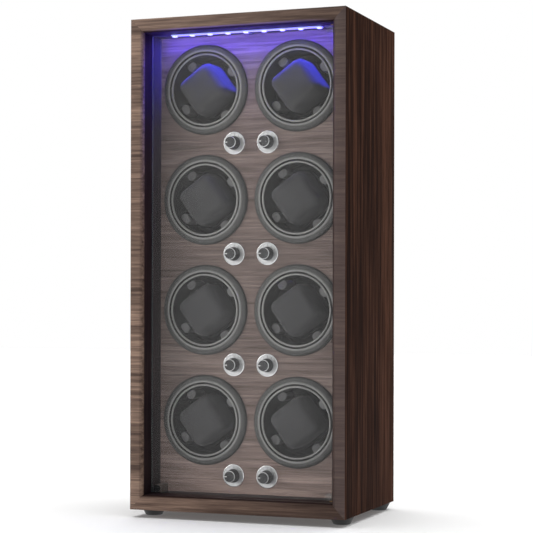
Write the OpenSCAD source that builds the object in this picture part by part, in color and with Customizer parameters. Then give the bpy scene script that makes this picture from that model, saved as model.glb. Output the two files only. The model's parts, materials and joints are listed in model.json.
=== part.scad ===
// Watch winder cabinet: eight turning cups behind a glass door, in a mitred walnut box on rubber feet.
// Millimetres. +Z is up and the door faces -Y. The origin lies on the ground under the middle of the box.
// Cups are numbered from the top left, row by row; each has its own cushion, belt drive and timer knob.

/* [Cabinet] */
// Width of the cabinet
body_w = 258; // [254:1:290]
// Depth of the cabinet from front to back
body_d = 188; // [180:1:230]
// Height of the cabinet without its feet
body_h = 560; // [552:1:600]
// Thickness of the sides and of the top
board_t = 15.5; // [14:0.5:17]
// Thickness of the bottom
bottom_t = 17; // [15:0.5:20]
// Radius of the rounded edge of the front opening
front_round = 4; // [1:0.5:6]
// Depth of the rebate that takes the back panel
rebate_d = 9; // [8:0.5:14]
// Width of the rebate that takes the back panel
rebate_w = 8; // [7:0.5:9]
// Thickness of the back panel
back_t = 4; // [3:0.5:4.5]

/* [Feet] */
// Height of a foot
foot_h = 9; // [6:0.5:16]
// Diameter of a foot where it meets the cabinet
foot_top_d = 27.5; // [20:0.5:28.5]
// Diameter of a foot on the ground
foot_ground_d = 19; // [14:0.5:20]
// Distance from the cabinet's sides and back to a foot's centre
foot_inset = 14.5; // [14.5:0.5:20]
// Distance from the cabinet's front to a front foot's centre
foot_set = 34.5; // [30:0.5:50]

/* [Glass door] */
// Distance from the front face back to the glass
glass_set = 22; // [20:0.5:24]
// Thickness of the glass
glass_t = 4; // [3:0.5:5]
// Gap beside the glass at its opening edge
glass_gap = 0.8; // [0.5:0.1:2]
// Gap above and below the glass
glass_gap_z = 1.2; // [0.8:0.1:2]
// Distance from the opening's side to the hinge axis
pivot_inset = 6; // [5.7:0.1:8]
// Diameter of a hinge pin
pivot_d = 4; // [3:0.5:5]
// Length of a hinge shoe along the glass
shoe_l = 8; // [8:0.5:16]
// Height of a hinge shoe
shoe_h = 8; // [8:0.5:20]
// Thickness of a hinge shoe's cheeks
shoe_cheek = 1.5; // [1:0.1:1.8]

/* [Faceplate] */
// Distance from the front face back to the faceplate
plate_set = 49; // [48:0.5:56]
// Thickness of the faceplate
plate_t = 9; // [8:0.5:11]
// Gap between a bezel and the opening's side
side_gap = 5.15; // [4:0.05:8]
// Gap between two bezels side by side
column_gap = 8.7; // [6:0.1:14]
// Gap between the top bezels and the opening's top
head_gap = 9.95; // [8:0.05:14]
// Gap between the lowest dials and the opening's bottom
foot_gap = 8.15; // [7:0.05:14]

/* [Cups] */
// Width of a bezel's ring
bezel_w = 8.7; // [7:0.1:10]
// Height of a bezel and of a cup's lip above the faceplate
bezel_h = 5; // [3:0.5:7]
// Wall of the bezel's collar in the faceplate
collar_wall = 4.2; // [3:0.1:5]
// Running gap between a cup's lip and its bezel
cup_gap = 1.5; // [0.8:0.1:2]
// Thickness of a cup's wall
cup_wall = 2.3; // [1.6:0.1:3]
// Depth of a cup from its lip to its floor
cup_depth = 38; // [34:0.5:44]
// Thickness of a cup's floor
floor_t = 2.5; // [2:0.1:4]
// Distance from a cup's lip back to its grip pads
pad_set = 12; // [8:0.5:18]
// Width of a grip pad
pad_w = 12; // [8:0.5:16]
// Height of a grip pad above the cup's wall
pad_rise = 8.5; // [6:0.5:9]
// Turn of the grip pads and of the cushion from the horizontal
cup_turn = 36; // [0:1:89]

/* [Cushions] */
// Gap between a cushion's flat sides and the grip pads
pillow_gap = 6.5; // [5:0.5:10]
// Narrowing of a cushion towards its front face, on each side
pillow_taper = 5.5; // [3:0.5:9]
// Length of a cushion from front to back
pillow_l = 47; // [42:0.5:50]
// Radius of a cushion's long edges
pillow_r = 8; // [5:0.5:10]
// Length over which a cushion widens behind its front face
pillow_shoulder = 12; // [6:0.5:16]
// Height of the cradle round a cushion's back end
cradle_h = 6; // [4:0.5:8]
// Thickness of the cradle's rim
cradle_wall = 1.8; // [1.2:0.1:2.5]
// Thickness of the cradle's seat
cradle_seat = 3; // [2:0.5:4]

/* [Drive] */
// Diameter of a cup's pulley under the belt
pulley_d = 48; // [40:1:56]
// Diameter of a motor's pulley under the belt
motor_pulley_d = 12; // [10:0.5:14]
// Distance between a cup's axis and its motor's axis
belt_centres = 60; // [57:0.5:62]
// Width of a belt
belt_w = 3; // [2:0.5:4]
// Thickness of a belt
belt_t = 1.6; // [1.2:0.1:2]
// Height of a pulley's flanges above the belt's seat
flange_rise = 2; // [2:0.1:3]
// Thickness of a pulley's flanges
flange_t = 1.5; // [1:0.1:2]
// Diameter of a cup's spindle
spindle_d = 6; // [5:0.5:8]
// Outer diameter of a spindle's bush
bush_d = 11; // [10:0.5:14]
// Thickness of the drive board
drive_t = 6; // [5:0.5:9]
// Diameter of a gearbox
gearbox_d = 25; // [24:0.5:27]
// Length of a gearbox
gearbox_l = 14; // [12:0.5:18]
// Diameter of a motor
motor_d = 20; // [18:0.5:22]
// Length of a motor
motor_l = 22; // [18:0.5:28]
// Thickness of the battens beside the faceplate
batten_t = 11; // [9:0.5:12]

/* [Timer knobs] */
// Distance between the two columns of knobs
knob_pitch_x = 41; // [36:0.5:46]
// Height of a knob above the middle between two rows
knob_rise = 0.8; // [0:0.1:4]
// Diameter of a dial
dial_d = 26; // [24:0.5:28]
// Diameter of a knob at its base
knob_base_d = 16; // [15:0.5:18]
// Diameter of a knob at its cap
knob_cap_d = 13; // [11:0.5:14]
// Height of a knob above the faceplate
knob_h = 15; // [13:0.5:17]
// Diameter of a timer switch
timer_d = 18; // [16:0.5:20]
// Length of a timer switch
timer_l = 13; // [11:0.5:16]

/* [Light and power] */
// Length of the light strip
strip_l = 182; // [120:1:186]
// Distance between two lamps of the light strip
lamp_pitch = 22; // [8:0.5:24]
// Height of the power socket and the power switch above the cabinet's underside
power_rise = 60; // [40:1:90]
// Distance between the power socket and the power switch
power_pitch = 50; // [36:1:80]

/* [Hidden] */
$fn = 72;
COLUMNS = 2;
ROWS = 4;
CUPS = COLUMNS * ROWS;
stations = [1 : CUPS];

// Clearances
run_gap = 0.05;      // shaft in its bearing, all round
press_gap = 0.02;    // pieces pressed or screwed into each other
fit_gap = 0.3;       // pieces laid in an opening
end_play = 0.3;      // faces that turn past each other

// The box and its opening
front_y = -body_d / 2;
top_z = foot_h + body_h;
inner_w = body_w - 2 * board_t;
inner_h = body_h - board_t - bottom_t;
floor_z = foot_h + bottom_t;
ceiling_z = top_z - board_t;
panel_y = body_d / 2 - rebate_d + back_t;   // outer face of the back panel

// Bezels share the opening's width, and rows its height; a knob lies between its row and the next
bezel_d = (inner_w - 2 * side_gap - column_gap) / COLUMNS;
cup_pitch_x = bezel_d + column_gap;
cup_pitch_z = (inner_h - head_gap - bezel_d / 2 + knob_rise - dial_d / 2 - foot_gap) / (ROWS - 0.5);
knob_drop = cup_pitch_z / 2 - knob_rise;

// Door
pivot_x = inner_w / 2 - pivot_inset;
pivot_depth = glass_set + glass_t / 2;
pivot_r = pivot_d / 2;
boss_r = glass_t / 2 + 2.6;
hinge_edge = 4;                      // glass beyond the hinge axis
shoe_play = 0.5;                     // between a shoe and the opening
shoe_web = 2;                        // thickness over the glass's edge, which is notched for it
pin_bush_r = pivot_r + 2;
pin_bush_l = 8;
pin_bush_rim = shoe_play - end_play;
pin_l = 6;
glass_left = -inner_w / 2 + glass_gap;
glass_right = pivot_x + hinge_edge;
glass_low = floor_z + glass_gap_z;
glass_high = ceiling_z - glass_gap_z;

// Push latch in the lower left corner
latch_w = 8;
plunger_r = 2.5;
plunger_travel = 3;
plunger_grip = 8;                    // stretch of the plunger inside its body
strike_r = 4;
strike_t = 1.2;
latch_x = -inner_w / 2 + latch_w / 2 + 2;
latch_z = floor_z + latch_w / 2;
strike_z = max(latch_z, glass_low + strike_r);
latch_front = glass_set + glass_t + strike_t + plunger_travel + 0.8;

// Depths of the drive, one behind the other
lip_depth = plate_set - bezel_h;
floor_depth = lip_depth + cup_depth;
pulley_front = floor_depth + floor_t;
groove_w = belt_w + 2 * end_play;
hub_back = pulley_front + 2 * flange_t + groove_w + 2;
bush_flange = 1.5;
drive_front = hub_back + end_play + bush_flange;
drive_back = drive_front + drive_t;
bush_back = drive_back + 6;
washer_t = 1;
spindle_seat = 0.5;                  // end of the spindle's hole behind the cup's floor
spindle_end = bush_back + end_play + washer_t + 1.5;
plate_back = plate_set + plate_t;

// Radii that follow each other
spindle_r = spindle_d / 2;
bezel_bore_r = bezel_d / 2 - bezel_w;
collar_r = bezel_bore_r + collar_wall;
cup_r = bezel_bore_r - cup_gap;
cup_bore_r = cup_r - cup_wall;
pad_reach = cup_bore_r - pad_rise;
pillow_w = 2 * (pad_reach - pillow_gap);
pillow_face_w = pillow_w - 2 * pillow_taper;
hub_r = spindle_r + 5;
pulley_r = pulley_d / 2;
motor_pulley_r = motor_pulley_d / 2;
motor_shaft_r = 1.5;
motor_boss_r = 4;
motor_screw_pitch = gearbox_d - 8;
motor_screw_r = 1.3;
wire_hole_r = 4.5;

// Timer knob, from the faceplate forward
dial_t = 1;
dial_rim = 1.2;
nut_t = 2;
nut_flats = 10;
neck_r = 3.5;
timer_shaft_r = 3;
pocket_depth = plate_t - 4;          // the timer switch sits in a pocket behind the plate
neck_front = plate_set - dial_t - nut_t - 2;
knob_back = plate_set - dial_t - dial_rim - 0.3;
knob_hollow_r = nut_flats / sqrt(3) + 0.5;
knob_hollow_end = neck_front - 0.6;
knob_front = plate_set - knob_h;

// Light strip, wiring and power
strip_w = 8;
strip_t = 0.8;
strip_depth = glass_set + glass_t + 0.8;
lamp_w = 5;
lamp_t = 1.6;
loom_w = 8;
loom_t = 1.2;
lead_w = 5;
pcb_w = 50;
pcb_h = 90;
pcb_t = 1.6;
standoff_h = 6;
standoff_r = 3;
relay_w = 8;
relay_t = 6;
relay_h = 10;
relay_inset = 8;
relay_step = 18;
chip_w = 12;
chip_t = 2.4;
jack_w = 8;
jack_rise = 25;
can_r = 5;
can_h = 12;
can_rise = 22;
socket_x = -power_pitch / 2;
switch_x = power_pitch / 2;
power_z = foot_h + power_rise;
socket_r = 4.5;
socket_l = 14;
switch_w = 13;
switch_h = 19;
rocker_w = 8.6;
rocker_h = 13.2;
rocker_tilt = 7;
rocker_axis = 1.5;                   // pivot's distance inside the panel's outer face
trunnion_r = 1;

// Screws
screw_r = 1.5;
screw_hole_r = 1.7;
head_r = 2.8;
head_t = 1.8;
bite = 10;                           // thread in the sides and battens
foot_bite = 8;                       // thread in the bottom

function row(n) = floor((n - 1) / COLUMNS);
function side(n) = (n - 1) % COLUMNS - (COLUMNS - 1) / 2;
function cup_x(n) = side(n) * cup_pitch_x;
function cup_z(n) = ceiling_z - head_gap - bezel_d / 2 - row(n) * cup_pitch_z;
function motor_z(n) = cup_z(n) - belt_centres;
function knob_x(n) = side(n) * knob_pitch_x;
function knob_z(n) = cup_z(n) - knob_drop;

// Draws children with their z axis pointing back into the box, from a given depth behind the front face
module behind(x, z, depth) {
    translate([x, front_y + depth, z]) rotate([-90, 0, 0]) children();
}

// A block given by its sides and its place: left to right, front to back, low to high
module block(x0, x1, depth0, depth1, z0, z1) {
    translate([x0, front_y + depth0, z0]) cube([x1 - x0, depth1 - depth0, z1 - z0]);
}

// A square with round corners, about the origin
module round_square(w, r) {
    square([w, w - 2 * r], center = true);
    square([w - 2 * r, w], center = true);
    for (x = [-1, 1], y = [-1, 1]) translate([x * (w / 2 - r), y * (w / 2 - r)]) circle(r);
}

// ---- Cabinet ----

// Section of a board: x runs from its outer to its inner face, y from front to back
module board_section(t) {
    difference() {
        polygon([[0, 0], [t, 0], [t, body_d - rebate_d], [t - rebate_w, body_d - rebate_d],
            [t - rebate_w, body_d], [0, body_d]]);
        translate([t - front_round, -1]) square([2 * front_round, front_round + 1]);
    }
    translate([t - front_round, front_round]) circle(front_round);
}

// The wedge of the box's front outline that one board fills between its two mitres
module mitre_wedge(points) {
    translate([0, body_d / 2 + 1, 0]) rotate([90, 0, 0]) linear_extrude(body_d + 2) polygon(points);
}

module side_blank() {
    intersection() {
        translate([-body_w / 2, front_y, foot_h]) linear_extrude(body_h) board_section(board_t);
        mitre_wedge([[-body_w / 2, foot_h], [-inner_w / 2, floor_z],
            [-inner_w / 2, ceiling_z], [-body_w / 2, top_z]]);
    }
}

module left_side() {
    color("#4a3326") difference() {
        side_blank();
        back_screw_holes(screw_r + press_gap);
    }
}

module right_side() {
    color("#4a3326") difference() {
        mirror([1, 0, 0]) side_blank();
        back_screw_holes(screw_r + press_gap);
    }
}

module top_board() {
    color("#4a3326") difference() {
        intersection() {
            translate([0, front_y, top_z]) rotate([0, 90, 0])
                linear_extrude(body_w, center = true) board_section(board_t);
            mitre_wedge([[-body_w / 2, top_z], [-inner_w / 2, ceiling_z],
                [inner_w / 2, ceiling_z], [body_w / 2, top_z]]);
        }
        back_screw_holes(screw_r + press_gap);
        translate([pivot_x, front_y + pivot_depth, ceiling_z - 1])
            cylinder(h = pin_bush_l + 1 + press_gap, r = pin_bush_r + press_gap);
    }
}

module bottom_board() {
    color("#4a3326") difference() {
        intersection() {
            translate([0, front_y, foot_h]) rotate([0, -90, 0])
                linear_extrude(body_w, center = true) board_section(bottom_t);
            mitre_wedge([[-body_w / 2, foot_h], [-inner_w / 2, floor_z],
                [inner_w / 2, floor_z], [body_w / 2, foot_h]]);
        }
        back_screw_holes(screw_r + press_gap);
        foot_places() cylinder(h = 2 * foot_bite, r = screw_r + press_gap, center = true);
        translate([pivot_x, front_y + pivot_depth, floor_z + 1]) mirror([0, 0, 1])
            cylinder(h = pin_bush_l + 1 + press_gap, r = pin_bush_r + press_gap);
    }
}

// Where the back panel's screws stand, in the middle of the rebate
module back_screw_places() {
    edge_x = inner_w / 2 + rebate_w / 2;
    for (x = [-edge_x, edge_x], k = [-2 : 2])
        translate([x, panel_y, floor_z + inner_h / 2 + k * (inner_h / 4 - rebate_w)]) children();
    for (x = [-inner_w / 4, inner_w / 4], z = [floor_z - rebate_w / 2, ceiling_z + rebate_w / 2])
        translate([x, panel_y, z]) children();
}

module back_screw_holes(r) {
    back_screw_places() rotate([90, 0, 0]) cylinder(h = back_t + bite, r = r);
}

module back_panel() {
    half_w = inner_w / 2 + rebate_w - fit_gap;
    color("#2b211c") difference() {
        translate([-half_w, panel_y - back_t, floor_z - rebate_w + fit_gap])
            cube([2 * half_w, back_t, inner_h + 2 * (rebate_w - fit_gap)]);
        back_screw_places() rotate([90, 0, 0]) cylinder(h = 3 * back_t, r = screw_hole_r, center = true);
        translate([socket_x, panel_y, power_z]) rotate([90, 0, 0])
            cylinder(h = 3 * back_t, r = socket_r + fit_gap, center = true);
        translate([switch_x, panel_y, power_z])
            cube([switch_w + 2 * fit_gap, 3 * back_t, switch_h + 2 * fit_gap], center = true);
    }
}

// Under the cabinet, at each foot
module foot_places() {
    for (x = [-1, 1], y = [front_y + foot_set, body_d / 2 - foot_inset])
        translate([x * (body_w / 2 - foot_inset), y, foot_h]) children();
}

foot_recess = foot_h - 2.5;

module feet() {
    color("#151515") foot_places() translate([0, 0, -foot_h]) difference() {
        cylinder(h = foot_h, r1 = foot_ground_d / 2, r2 = foot_top_d / 2);
        translate([0, 0, -1]) cylinder(h = foot_recess + 1, r = head_r + 1.2);
        cylinder(h = foot_h + 1, r = screw_hole_r);
    }
}

// A pan-head screw, its head's underside at z = 0 and its shank along -z
module pan_screw(length) {
    cylinder(h = head_t, r = head_r);
    translate([0, 0, -length]) cylinder(h = length, r = screw_r);
}

module screws() {
    color("#b8bcc0") {
        back_screw_places() rotate([-90, 0, 0]) pan_screw(back_t + bite - 0.5);
        foot_places() translate([0, 0, foot_recess - foot_h]) mirror([0, 0, 1])
            pan_screw(foot_h - foot_recess + foot_bite - 0.5);
        drive_screw_places() pan_screw(drive_t + bite - 0.5);
    }
}

// ---- Glass door ----

module door_glass() {
    notch = shoe_play + shoe_web;
    color([0.85, 0.9, 0.9, 0.3]) difference() {
        block(glass_left, glass_right, glass_set, glass_set + glass_t, glass_low, glass_high);
        block(pivot_x - shoe_l, inner_w, 0, plate_set, ceiling_z - notch, top_z);
        block(pivot_x - shoe_l, inner_w, 0, plate_set, foot_h, floor_z + notch);
    }
}

// A hinge shoe clasps a corner of the glass; its pin stands up from z = 0, the edge of the opening
module hinge_shoe() {
    difference() {
        union() {
            translate([0, 0, -shoe_play - shoe_h]) cylinder(h = shoe_h, r = boss_r);
            translate([-shoe_l, -glass_t / 2 - shoe_cheek, -shoe_play - shoe_h])
                cube([shoe_l, glass_t + 2 * shoe_cheek, shoe_h]);
            translate([0, 0, -shoe_play]) cylinder(h = shoe_play + pin_l, r = pivot_r);
        }
        translate([-2 * shoe_l, -glass_t / 2, -shoe_play - shoe_web - 2 * shoe_h])
            cube([2 * shoe_l + hinge_edge, glass_t, 2 * shoe_h]);
    }
}

module door_shoes() {
    color([0.85, 0.88, 0.88, 0.4]) {
        translate([pivot_x, front_y + pivot_depth, ceiling_z]) hinge_shoe();
        translate([pivot_x, front_y + pivot_depth, floor_z]) mirror([0, 0, 1]) hinge_shoe();
    }
}

module door_strike() {
    color("#1c1c1e") behind(latch_x, strike_z, glass_set + glass_t) cylinder(h = strike_t, r = strike_r);
}

module latch_body() {
    color("#5a463b") difference() {
        block(latch_x - latch_w / 2, latch_x + latch_w / 2, latch_front, plate_set,
            floor_z, strike_z + latch_w / 2);
        behind(latch_x, strike_z, latch_front - 1)
            cylinder(h = 1 + plunger_grip + plunger_travel + 0.5, r = plunger_r + run_gap);
    }
}

module latch_plunger() {
    tip = glass_set + glass_t + strike_t;
    color("#6a5447") behind(latch_x, strike_z, tip)
        cylinder(h = latch_front - tip + plunger_grip, r = plunger_r);
}

// ---- Faceplate and what stands behind it ----

module faceplate() {
    color("#6b5449") difference() {
        block(-inner_w / 2 + fit_gap, inner_w / 2 - fit_gap, plate_set, plate_back,
            floor_z + fit_gap, ceiling_z - fit_gap);
        for (n = stations) {
            behind(cup_x(n), cup_z(n), plate_set - 1) cylinder(h = plate_t + 2, r = collar_r + fit_gap);
            behind(knob_x(n), knob_z(n), plate_set - 1) cylinder(h = plate_t + 2, r = neck_r + fit_gap);
            behind(knob_x(n), knob_z(n), plate_back - pocket_depth)
                cylinder(h = pocket_depth + 1, r = timer_d / 2 + fit_gap);
        }
        lead_notch();
    }
}

// Notch at the ceiling for the light strip's lead
module lead_notch() {
    block(-lead_w / 2 - fit_gap, lead_w / 2 + fit_gap, plate_set - 1, drive_back + 1,
        ceiling_z - loom_t - fit_gap, ceiling_z + 1);
}

// Outline of a bezel: radius, and depth behind the faceplate's front
bezel_flat_r = bezel_bore_r + 3.5;
bezel_round = bezel_d / 2 - bezel_flat_r;
bezel_edge = 0.8;
bezel_outline = concat(
    [[bezel_bore_r, plate_t], [bezel_bore_r, 1 - bezel_h], [bezel_bore_r + 1, -bezel_h]],
    [for (a = [0 : 15 : 90])
        [bezel_flat_r + bezel_round * sin(a), -bezel_edge - (bezel_h - bezel_edge) * cos(a)]],
    [[bezel_d / 2, 0], [collar_r, 0], [collar_r, plate_t]]
);

module bezels() {
    color("#1b1b1c") for (n = stations)
        behind(cup_x(n), cup_z(n), plate_set) rotate_extrude() polygon(bezel_outline);
}

module battens() {
    color("#8a6a4a") for (s = [-1, 1]) difference() {
        block(s > 0 ? inner_w / 2 - batten_t : -inner_w / 2, s > 0 ? inner_w / 2 : batten_t - inner_w / 2,
            plate_back, drive_front, floor_z, ceiling_z);
        drive_screw_places() cylinder(h = 2 * (drive_t + bite), r = screw_r + press_gap, center = true);
    }
}

// Where the drive board's screws stand, on the board's back, with z pointing out of the back
module drive_screw_places() {
    edge_x = (inner_w - batten_t) / 2;
    for (x = [-edge_x, edge_x], k = [-1.5 : 1.5])
        translate([x, front_y + drive_back, floor_z + inner_h / 2 + k * inner_h / 3.4])
            rotate([-90, 0, 0]) children();
}

module drive_board() {
    color("#2a2a2a") difference() {
        block(-inner_w / 2 + fit_gap, inner_w / 2 - fit_gap, drive_front, drive_back,
            floor_z + fit_gap, ceiling_z - fit_gap);
        for (n = stations) {
            behind(cup_x(n), cup_z(n), drive_front - 1) cylinder(h = drive_t + 2, r = bush_d / 2 + press_gap);
            behind(cup_x(n), motor_z(n), drive_front - 1) {
                cylinder(h = drive_t + 2, r = motor_boss_r + fit_gap);
                for (x = [-1, 1]) translate([x * motor_screw_pitch / 2, 0, 0])
                    cylinder(h = drive_t + 2, r = motor_screw_r + press_gap);
            }
            behind(knob_x(n), knob_z(n), drive_front - 1) cylinder(h = drive_t + 2, r = wire_hole_r);
        }
        drive_screw_places() cylinder(h = 3 * drive_t, r = screw_hole_r, center = true);
        lead_notch();
    }
}

// A plain bush with a flange in front of z = 0
module spindle_bush() {
    difference() {
        union() {
            translate([0, 0, -bush_flange]) cylinder(h = bush_flange, r = bush_d / 2 + 2.5);
            translate([0, 0, -0.1]) cylinder(h = bush_back - drive_front + 0.1, r = bush_d / 2);
        }
        translate([0, 0, -2 * bush_flange]) cylinder(h = bush_back, r = spindle_r + run_gap);
    }
}

// A blind bush for a hinge pin; its rim stands out of the board below z = 0
module pin_bush() {
    difference() {
        translate([0, 0, -pin_bush_rim]) cylinder(h = pin_bush_l + pin_bush_rim, r = pin_bush_r);
        translate([0, 0, -1]) cylinder(h = 1 + pin_l + 0.5, r = pivot_r + run_gap);
    }
}

module bushes() {
    color("#b08d57") {
        for (n = stations) behind(cup_x(n), cup_z(n), drive_front) spindle_bush();
        translate([pivot_x, front_y + pivot_depth, ceiling_z]) pin_bush();
        translate([pivot_x, front_y + pivot_depth, floor_z]) mirror([0, 0, 1]) pin_bush();
    }
}

module motors() {
    color("#a9adb1") for (n = stations) behind(cup_x(n), motor_z(n), drive_back) difference() {
        union() {
            translate([0, 0, 1 - drive_t]) cylinder(h = drive_t, r = motor_boss_r);
            cylinder(h = gearbox_l, r = gearbox_d / 2);
            cylinder(h = gearbox_l + motor_l, r = motor_d / 2);
            cylinder(h = gearbox_l + motor_l + 2, r = 3);
            for (x = [-1, 1]) translate([x * 5 - 1, -0.3, gearbox_l]) cube([2, 0.6, motor_l + 5]);
        }
        translate([0, 0, -drive_t - 1]) cylinder(h = drive_t + gearbox_l, r = motor_shaft_r + run_gap);
        for (x = [-1, 1]) translate([x * motor_screw_pitch / 2, 0, -1])
            cylinder(h = 6, r = motor_screw_r + press_gap);
    }
}

// Outline of an open belt round two pulleys, a given distance outside their seats
module belt_outline(out) {
    r1 = pulley_r + out;
    r2 = motor_pulley_r + out;
    lean = asin((r1 - r2) / belt_centres);
    circle(r1);
    translate([0, belt_centres]) circle(r2);
    polygon([for (p = [[1, 0], [1, 1], [-1, 1], [-1, 0]])
        [p[0] * (p[1] == 0 ? r1 : r2) * cos(lean), p[1] * belt_centres + (p[1] == 0 ? r1 : r2) * sin(lean)]]);
}

module belts() {
    color("#111111") for (n = stations)
        behind(cup_x(n), cup_z(n), pulley_front + flange_t + end_play) linear_extrude(belt_w) difference() {
            belt_outline(run_gap + belt_t);
            belt_outline(run_gap);
        }
}

// ---- Turning cups ----

// A grooved pulley from z = 0 back
module pulley(r) {
    cylinder(h = flange_t, r = r + flange_rise);
    cylinder(h = groove_w + 2 * flange_t, r = r);
    translate([0, 0, flange_t + groove_w]) cylinder(h = flange_t, r = r + flange_rise);
}

// Outline of the bowl: radius, and depth behind the lip
lip_round = cup_wall / 2;
bowl_outline = concat(
    [for (a = [0 : 30 : 180])
        [cup_r - lip_round + lip_round * cos(a), lip_round - lip_round * sin(a)]],
    [[cup_bore_r, cup_depth], [0, cup_depth], [0, cup_depth + floor_t],
        [cup_r - 3, cup_depth + floor_t], [cup_r, cup_depth + floor_t - 3]]
);

module grip_pad() {
    r = 3;
    linear_extrude(cup_depth - pad_set) intersection() {
        circle(cup_bore_r - run_gap);
        union() {
            translate([pad_reach, r - pad_w / 2]) square([cup_r, pad_w - 2 * r]);
            translate([pad_reach + r, -pad_w / 2]) square([cup_r, pad_w]);
            for (y = [-1, 1]) translate([pad_reach + r, y * (pad_w / 2 - r)]) circle(r);
        }
    }
}

// Bowl, cradle, pulley and hub in one moulding, with four grip pads, the spindle and its washer
module cup(n) {
    color("#1b1b1c") behind(cup_x(n), cup_z(n), lip_depth) {
        difference() {
            union() {
                rotate_extrude() polygon(bowl_outline);
                translate([0, 0, cup_depth - cradle_h]) rotate([0, 0, -cup_turn]) linear_extrude(cradle_h + 1)
                    round_square(pillow_w + 2 * (fit_gap + cradle_wall), pillow_r + fit_gap + cradle_wall);
                translate([0, 0, cup_depth + floor_t - 0.1]) cylinder(h = 0.1 + flange_t, r = pulley_r);
                translate([0, 0, cup_depth + floor_t]) pulley(pulley_r);
                translate([0, 0, cup_depth]) cylinder(h = hub_back - floor_depth, r = hub_r);
            }
            translate([0, 0, cup_depth - cradle_h - 1]) rotate([0, 0, -cup_turn])
                linear_extrude(cradle_h + 1 - cradle_seat)
                    round_square(pillow_w + 2 * fit_gap, pillow_r + fit_gap);
            translate([0, 0, cup_depth + floor_t + spindle_seat])
                cylinder(h = cup_depth, r = spindle_r + press_gap);
        }
        for (k = [0 : 3]) rotate([0, 0, k * 90 - cup_turn]) translate([0, 0, pad_set]) grip_pad();
        translate([0, 0, cup_depth + floor_t + spindle_seat + press_gap])
            cylinder(h = spindle_end - pulley_front - spindle_seat, r = spindle_r);
        translate([0, 0, bush_back + end_play - lip_depth]) difference() {
            cylinder(h = washer_t, r = spindle_r + 3);
            translate([0, 0, -1]) cylinder(h = washer_t + 2, r = spindle_r + press_gap);
        }
    }
}

// The rounded front of a cushion, widening in three steps from its face to just inside its body
module pillow_front() {
    hull() {
        linear_extrude(1) round_square(pillow_face_w, pillow_r - 1, $fn = 32);
        translate([0, 0, pillow_shoulder * 0.4]) linear_extrude(1)
            round_square(0.7 * pillow_w + 0.3 * pillow_face_w, pillow_r - 0.5, $fn = 32);
        translate([0, 0, pillow_shoulder]) linear_extrude(1)
            round_square(pillow_w - 1, pillow_r - 0.5, $fn = 32);
    }
}

// A cushion, whose back end stands in the cradle
module pillow(n) {
    color("#39393b") behind(cup_x(n), cup_z(n), floor_depth - cradle_seat - pillow_l)
        rotate([0, 0, -cup_turn]) {
            pillow_front();
            translate([0, 0, pillow_shoulder]) linear_extrude(pillow_l - pillow_shoulder)
                round_square(pillow_w, pillow_r);
        }
}

module motor_pulley(n) {
    color("#d8d8d4") behind(cup_x(n), motor_z(n), pulley_front) {
        difference() {
            pulley(motor_pulley_r);
            translate([0, 0, -1]) cylinder(h = groove_w + 2 * flange_t + 2, r = motor_shaft_r + press_gap);
        }
        cylinder(h = drive_back - pulley_front + 6, r = motor_shaft_r);
    }
}

// ---- Timer knobs ----

module dial_plates() {
    color("#d9dadb") for (n = stations) behind(knob_x(n), knob_z(n), plate_set - dial_t) difference() {
        union() {
            cylinder(h = dial_t, r = dial_d / 2);
            translate([0, 0, -dial_rim]) cylinder(h = dial_rim + dial_t, r = dial_d / 2);
        }
        translate([0, 0, -2 * dial_rim]) cylinder(h = 2 * dial_rim, r = dial_d / 2 - 1.2);
        translate([0, 0, -1]) cylinder(h = dial_t + 2, r = neck_r + press_gap);
    }
}

module timer_switches() {
    color("#7d8084") for (n = stations) behind(knob_x(n), knob_z(n), plate_back - pocket_depth) difference() {
        union() {
            cylinder(h = timer_l, r = timer_d / 2);
            translate([0, 0, neck_front - plate_back + pocket_depth])
                cylinder(h = plate_back - pocket_depth - neck_front + 1, r = neck_r);
            for (x = [-5, 0, 5]) translate([x - 0.75, timer_d / 2 - 3, timer_l - 1]) cube([1.5, 0.6, 6]);
        }
        translate([0, 0, neck_front - plate_back + pocket_depth - 1])
            cylinder(h = plate_back - pocket_depth - neck_front + 7, r = timer_shaft_r + run_gap);
    }
}

module switch_nuts() {
    color("silver") for (n = stations) behind(knob_x(n), knob_z(n), plate_set - dial_t - nut_t) difference() {
        cylinder(h = nut_t, r = nut_flats / sqrt(3), $fn = 6);
        translate([0, 0, -1]) cylinder(h = nut_t + 2, r = neck_r + press_gap);
    }
}

// A knob on its shaft, with a pointer slot that lies at nine o'clock
module knob(n) {
    shaft_front = knob_front + 3;
    color("#232325") behind(knob_x(n), knob_z(n), knob_front) {
        difference() {
            cylinder(h = knob_back - knob_front, r1 = knob_cap_d / 2, r2 = knob_base_d / 2);
            translate([0, 0, knob_hollow_end - knob_front]) cylinder(h = knob_h, r = knob_hollow_r);
            translate([0, 0, shaft_front - end_play - knob_front])
                cylinder(h = knob_h, r = timer_shaft_r + press_gap);
            translate([-knob_cap_d, -0.5, -1]) cube([knob_cap_d - 1.5, 1, 1.5]);
        }
        translate([0, 0, shaft_front - knob_front])
            cylinder(h = plate_back - pocket_depth + 5 - shaft_front, r = timer_shaft_r);
    }
}

// ---- Light, wiring and power ----

module light_strip() {
    lamps = floor((strip_l - lamp_w) / lamp_pitch);
    color("#f2f4ff") {
        block(-strip_l / 2, strip_l / 2, strip_depth, strip_depth + strip_w, ceiling_z - strip_t, ceiling_z);
        for (k = [0 : lamps]) translate([(k - lamps / 2) * lamp_pitch, 0, 0])
            block(-lamp_w / 2, lamp_w / 2, strip_depth + (strip_w - lamp_w) / 2,
                strip_depth + (strip_w + lamp_w) / 2, ceiling_z - strip_t - lamp_t, ceiling_z - strip_t);
    }
}

pcb_z = floor_z + inner_h / 2;
pcb_depth = drive_back + standoff_h;
pcb_back = pcb_depth + pcb_t;

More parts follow.
